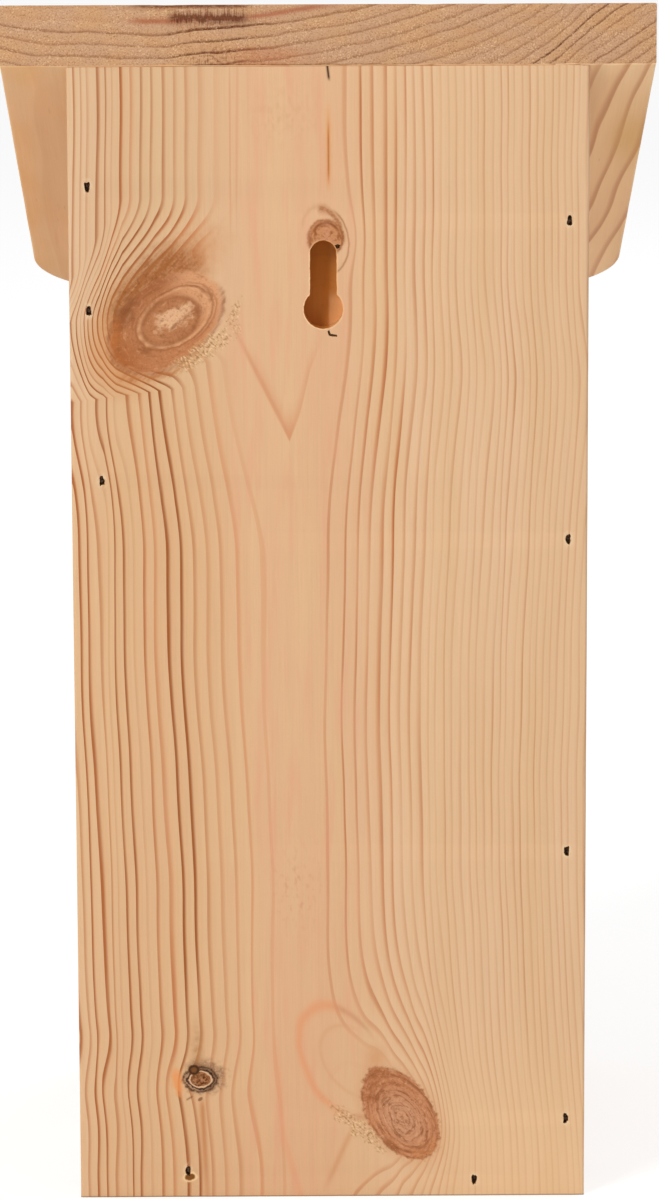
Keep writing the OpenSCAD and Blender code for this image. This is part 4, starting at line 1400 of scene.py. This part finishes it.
def pin_recipe():
    """A pin at each point, its head's top there and its shank along -Z of the turn that it is given."""
    r = Recipe("driven pins")
    length = r.size("Shank Length", "Float", PIN_SIZES["Shank Length"])
    thick = r.size("Shank Width", "Float", PIN_SIZES["Shank Width"])
    head = r.size("Head Size", "Vector", PIN_SIZES["Head Size"])
    turn = r.size("Turn", "Vector", (0, 0, 0))
    seed = r.size("Seed", "Int", 1)
    finish = r.size("Finish", "Material")

    head_t = r.value("ShaderNodeSeparateXYZ", None, {0: head}, "Z")
    cap = r.value("GeometryNodeMeshCube", None, {"Size": head})
    cap = r.value("GeometryNodeSubdivisionSurface", None, {"Mesh": cap, "Level": 2, "Edge Crease": 0.55})
    cap = r.value("GeometryNodeTransform", None,
                  {"Geometry": cap, "Translation": r.point(0.0, 0.0, head_t * -0.5)})
    shank = r.value("GeometryNodeMeshCone", None, {
        "Vertices": 10, "Side Segments": 6, "Radius Top": thick * 0.12, "Radius Bottom": thick * 0.5,
        "Depth": length})
    shank = r.value("GeometryNodeTransform", None, {
        "Geometry": shank, "Translation": r.point(0.0, 0.0, head_t * -0.8), "Rotation": (math.pi, 0, 0)})
    pin = r.value("GeometryNodeJoinGeometry", None, {"Geometry": [cap, shank]})

    twist = r.value("FunctionNodeRandomValue", {"data_type": "FLOAT"}, {2: -0.1, 3: 0.1, "Seed": seed}, 1)
    twist = r.value("FunctionNodeEulerToRotation", None, {0: r.point(0.0, 0.0, twist)})
    turn = r.value("FunctionNodeEulerToRotation", None, {0: turn})
    turn = r.value("FunctionNodeRotateRotation", {"rotation_space": "LOCAL"}, {0: turn, 1: twist})
    points = r.value("GeometryNodeMeshToPoints", None, {"Mesh": r.places})
    pins = r.value("GeometryNodeInstanceOnPoints", None, {
        "Points": points, "Instance": pin, "Rotation": turn})
    pins = r.value("GeometryNodeRealizeInstances", None, {0: pins})
    pins = r.value("GeometryNodeSetMaterial", None, {"Geometry": pins, "Material": finish})
    r.node("NodeGroupOutput", None, {0: pins})
    return r


pins = pin_recipe()
steel = pin_steel()
for number, (node, board) in enumerate(PINS.items()):
    places = bpy.data.meshes.new(node + "_heads")
    places.from_pydata([board.at(*head) for head in head_places[node]], [], [])
    stand = Matrix((board.u_way, board.v_way, -board.w_way)).transposed().to_euler()
    own = {"Turn": tuple(stand), "Seed": number, "Finish": steel}
    made = pins.make(places, node + "_wire", {**PIN_SIZES, **own})
    show(node + "_wire", made, [], node)


# ---------------------------------------------------------------- floor, light and camera

def studio_floor():
    """A pale floor that reads white, with the box's shadow kept on it."""
    f = new_finish("pale studio floor")
    seen = f.ray("Is Camera Ray") + f.ray("Is Glossy Ray")
    seen = f.least(seen + f.ray("Is Transmission Ray"), 1.0)
    plain = f.value("ShaderNodeBsdfDiffuse", None, {"Color": grey(0.95)})
    dim = f.value("ShaderNodeBsdfDiffuse", None, {"Color": grey(0.42)})
    glow = f.value("ShaderNodeEmission", None, {"Color": grey(1.0), "Strength": 0.7})
    both = f.value("ShaderNodeAddShader", None, {0: dim, 1: glow})
    return f.output(f.value("ShaderNodeMixShader", None, {0: seen, 1: plain, 2: both}))


def soft_room():
    """A white world, plain white to the eye and dimmer as a light."""
    f = Finish(bpy.data.worlds.new("soft room"))
    seen = f.most(f.ray("Is Camera Ray"), f.ray("Is Transmission Ray"))
    ambient = f.value("ShaderNodeBackground", None, {"Color": grey(1.0), "Strength": 0.575})
    white = f.value("ShaderNodeBackground", None, {"Color": grey(1.0), "Strength": 1.0})
    room = f.value("ShaderNodeMixShader", None, {0: seen, 1: ambient, 2: white})
    return f.output(room, "ShaderNodeOutputWorld")


FLOOR_REACH = 60    # metres from the middle to each edge
corners = [(-1, -1), (1, -1), (1, 1), (-1, 1)]
floor_data = bpy.data.meshes.new("studio_floor")
floor_data.from_pydata([(a * FLOOR_REACH, b * FLOOR_REACH, 0) for a, b in corners], [], [(0, 1, 2, 3)])
floor_data.materials.append(studio_floor())
studio = bpy.data.objects.new("studio_floor", floor_data)
scene.collection.objects.link(studio)

scene.world = soft_room()


def soft_lamp(name, way, distance, size, power):
    """A square soft lamp that looks at the middle of the box from this way off, in metres and watts."""
    data = bpy.data.lights.new(name, "AREA")
    data.shape = "SQUARE"
    data.size = size
    data.energy = power
    lamp = bpy.data.objects.new(name, data)
    target = Vector((0, 0, 0.2))
    lamp.location = target + Vector(way).normalized() * distance
    lamp.rotation_euler = (lamp.location - target).to_track_quat("Z", "Y").to_euler()
    scene.collection.objects.link(lamp)


soft_lamp("key_lamp", (0.48, 0.66, 0.42), 2.4, 0.6, 24.8)
soft_lamp("fill_lamp", (-0.5, -0.75, 0.6), 2.6, 1.4, 12.0)

CAMERA_AT = Vector((5.495, 1475.62, 425.36))
CAMERA_AHEAD = Vector((-0.00378, -0.98462, -0.17468)).normalized()
CAMERA_TILT = math.radians(-0.228)

view = bpy.data.cameras.new("camera")
view.sensor_fit = "VERTICAL"
view.sensor_height = 36
view.sensor_width = 36
view.lens = 144
view.clip_end = 200
camera = bpy.data.objects.new("camera", view)
level = CAMERA_AHEAD.cross(Vector((0, 0, 1))).normalized()
up = level.cross(CAMERA_AHEAD)
side_way = level * math.cos(CAMERA_TILT) + up * math.sin(CAMERA_TILT)
up_way = up * math.cos(CAMERA_TILT) - level * math.sin(CAMERA_TILT)
turn = Matrix((side_way, up_way, -CAMERA_AHEAD)).transposed()
camera.matrix_world = Matrix.Translation(CAMERA_AT * MM) @ turn.to_4x4()
scene.collection.objects.link(camera)
scene.camera = camera
scene.view_settings.view_transform = "Standard"
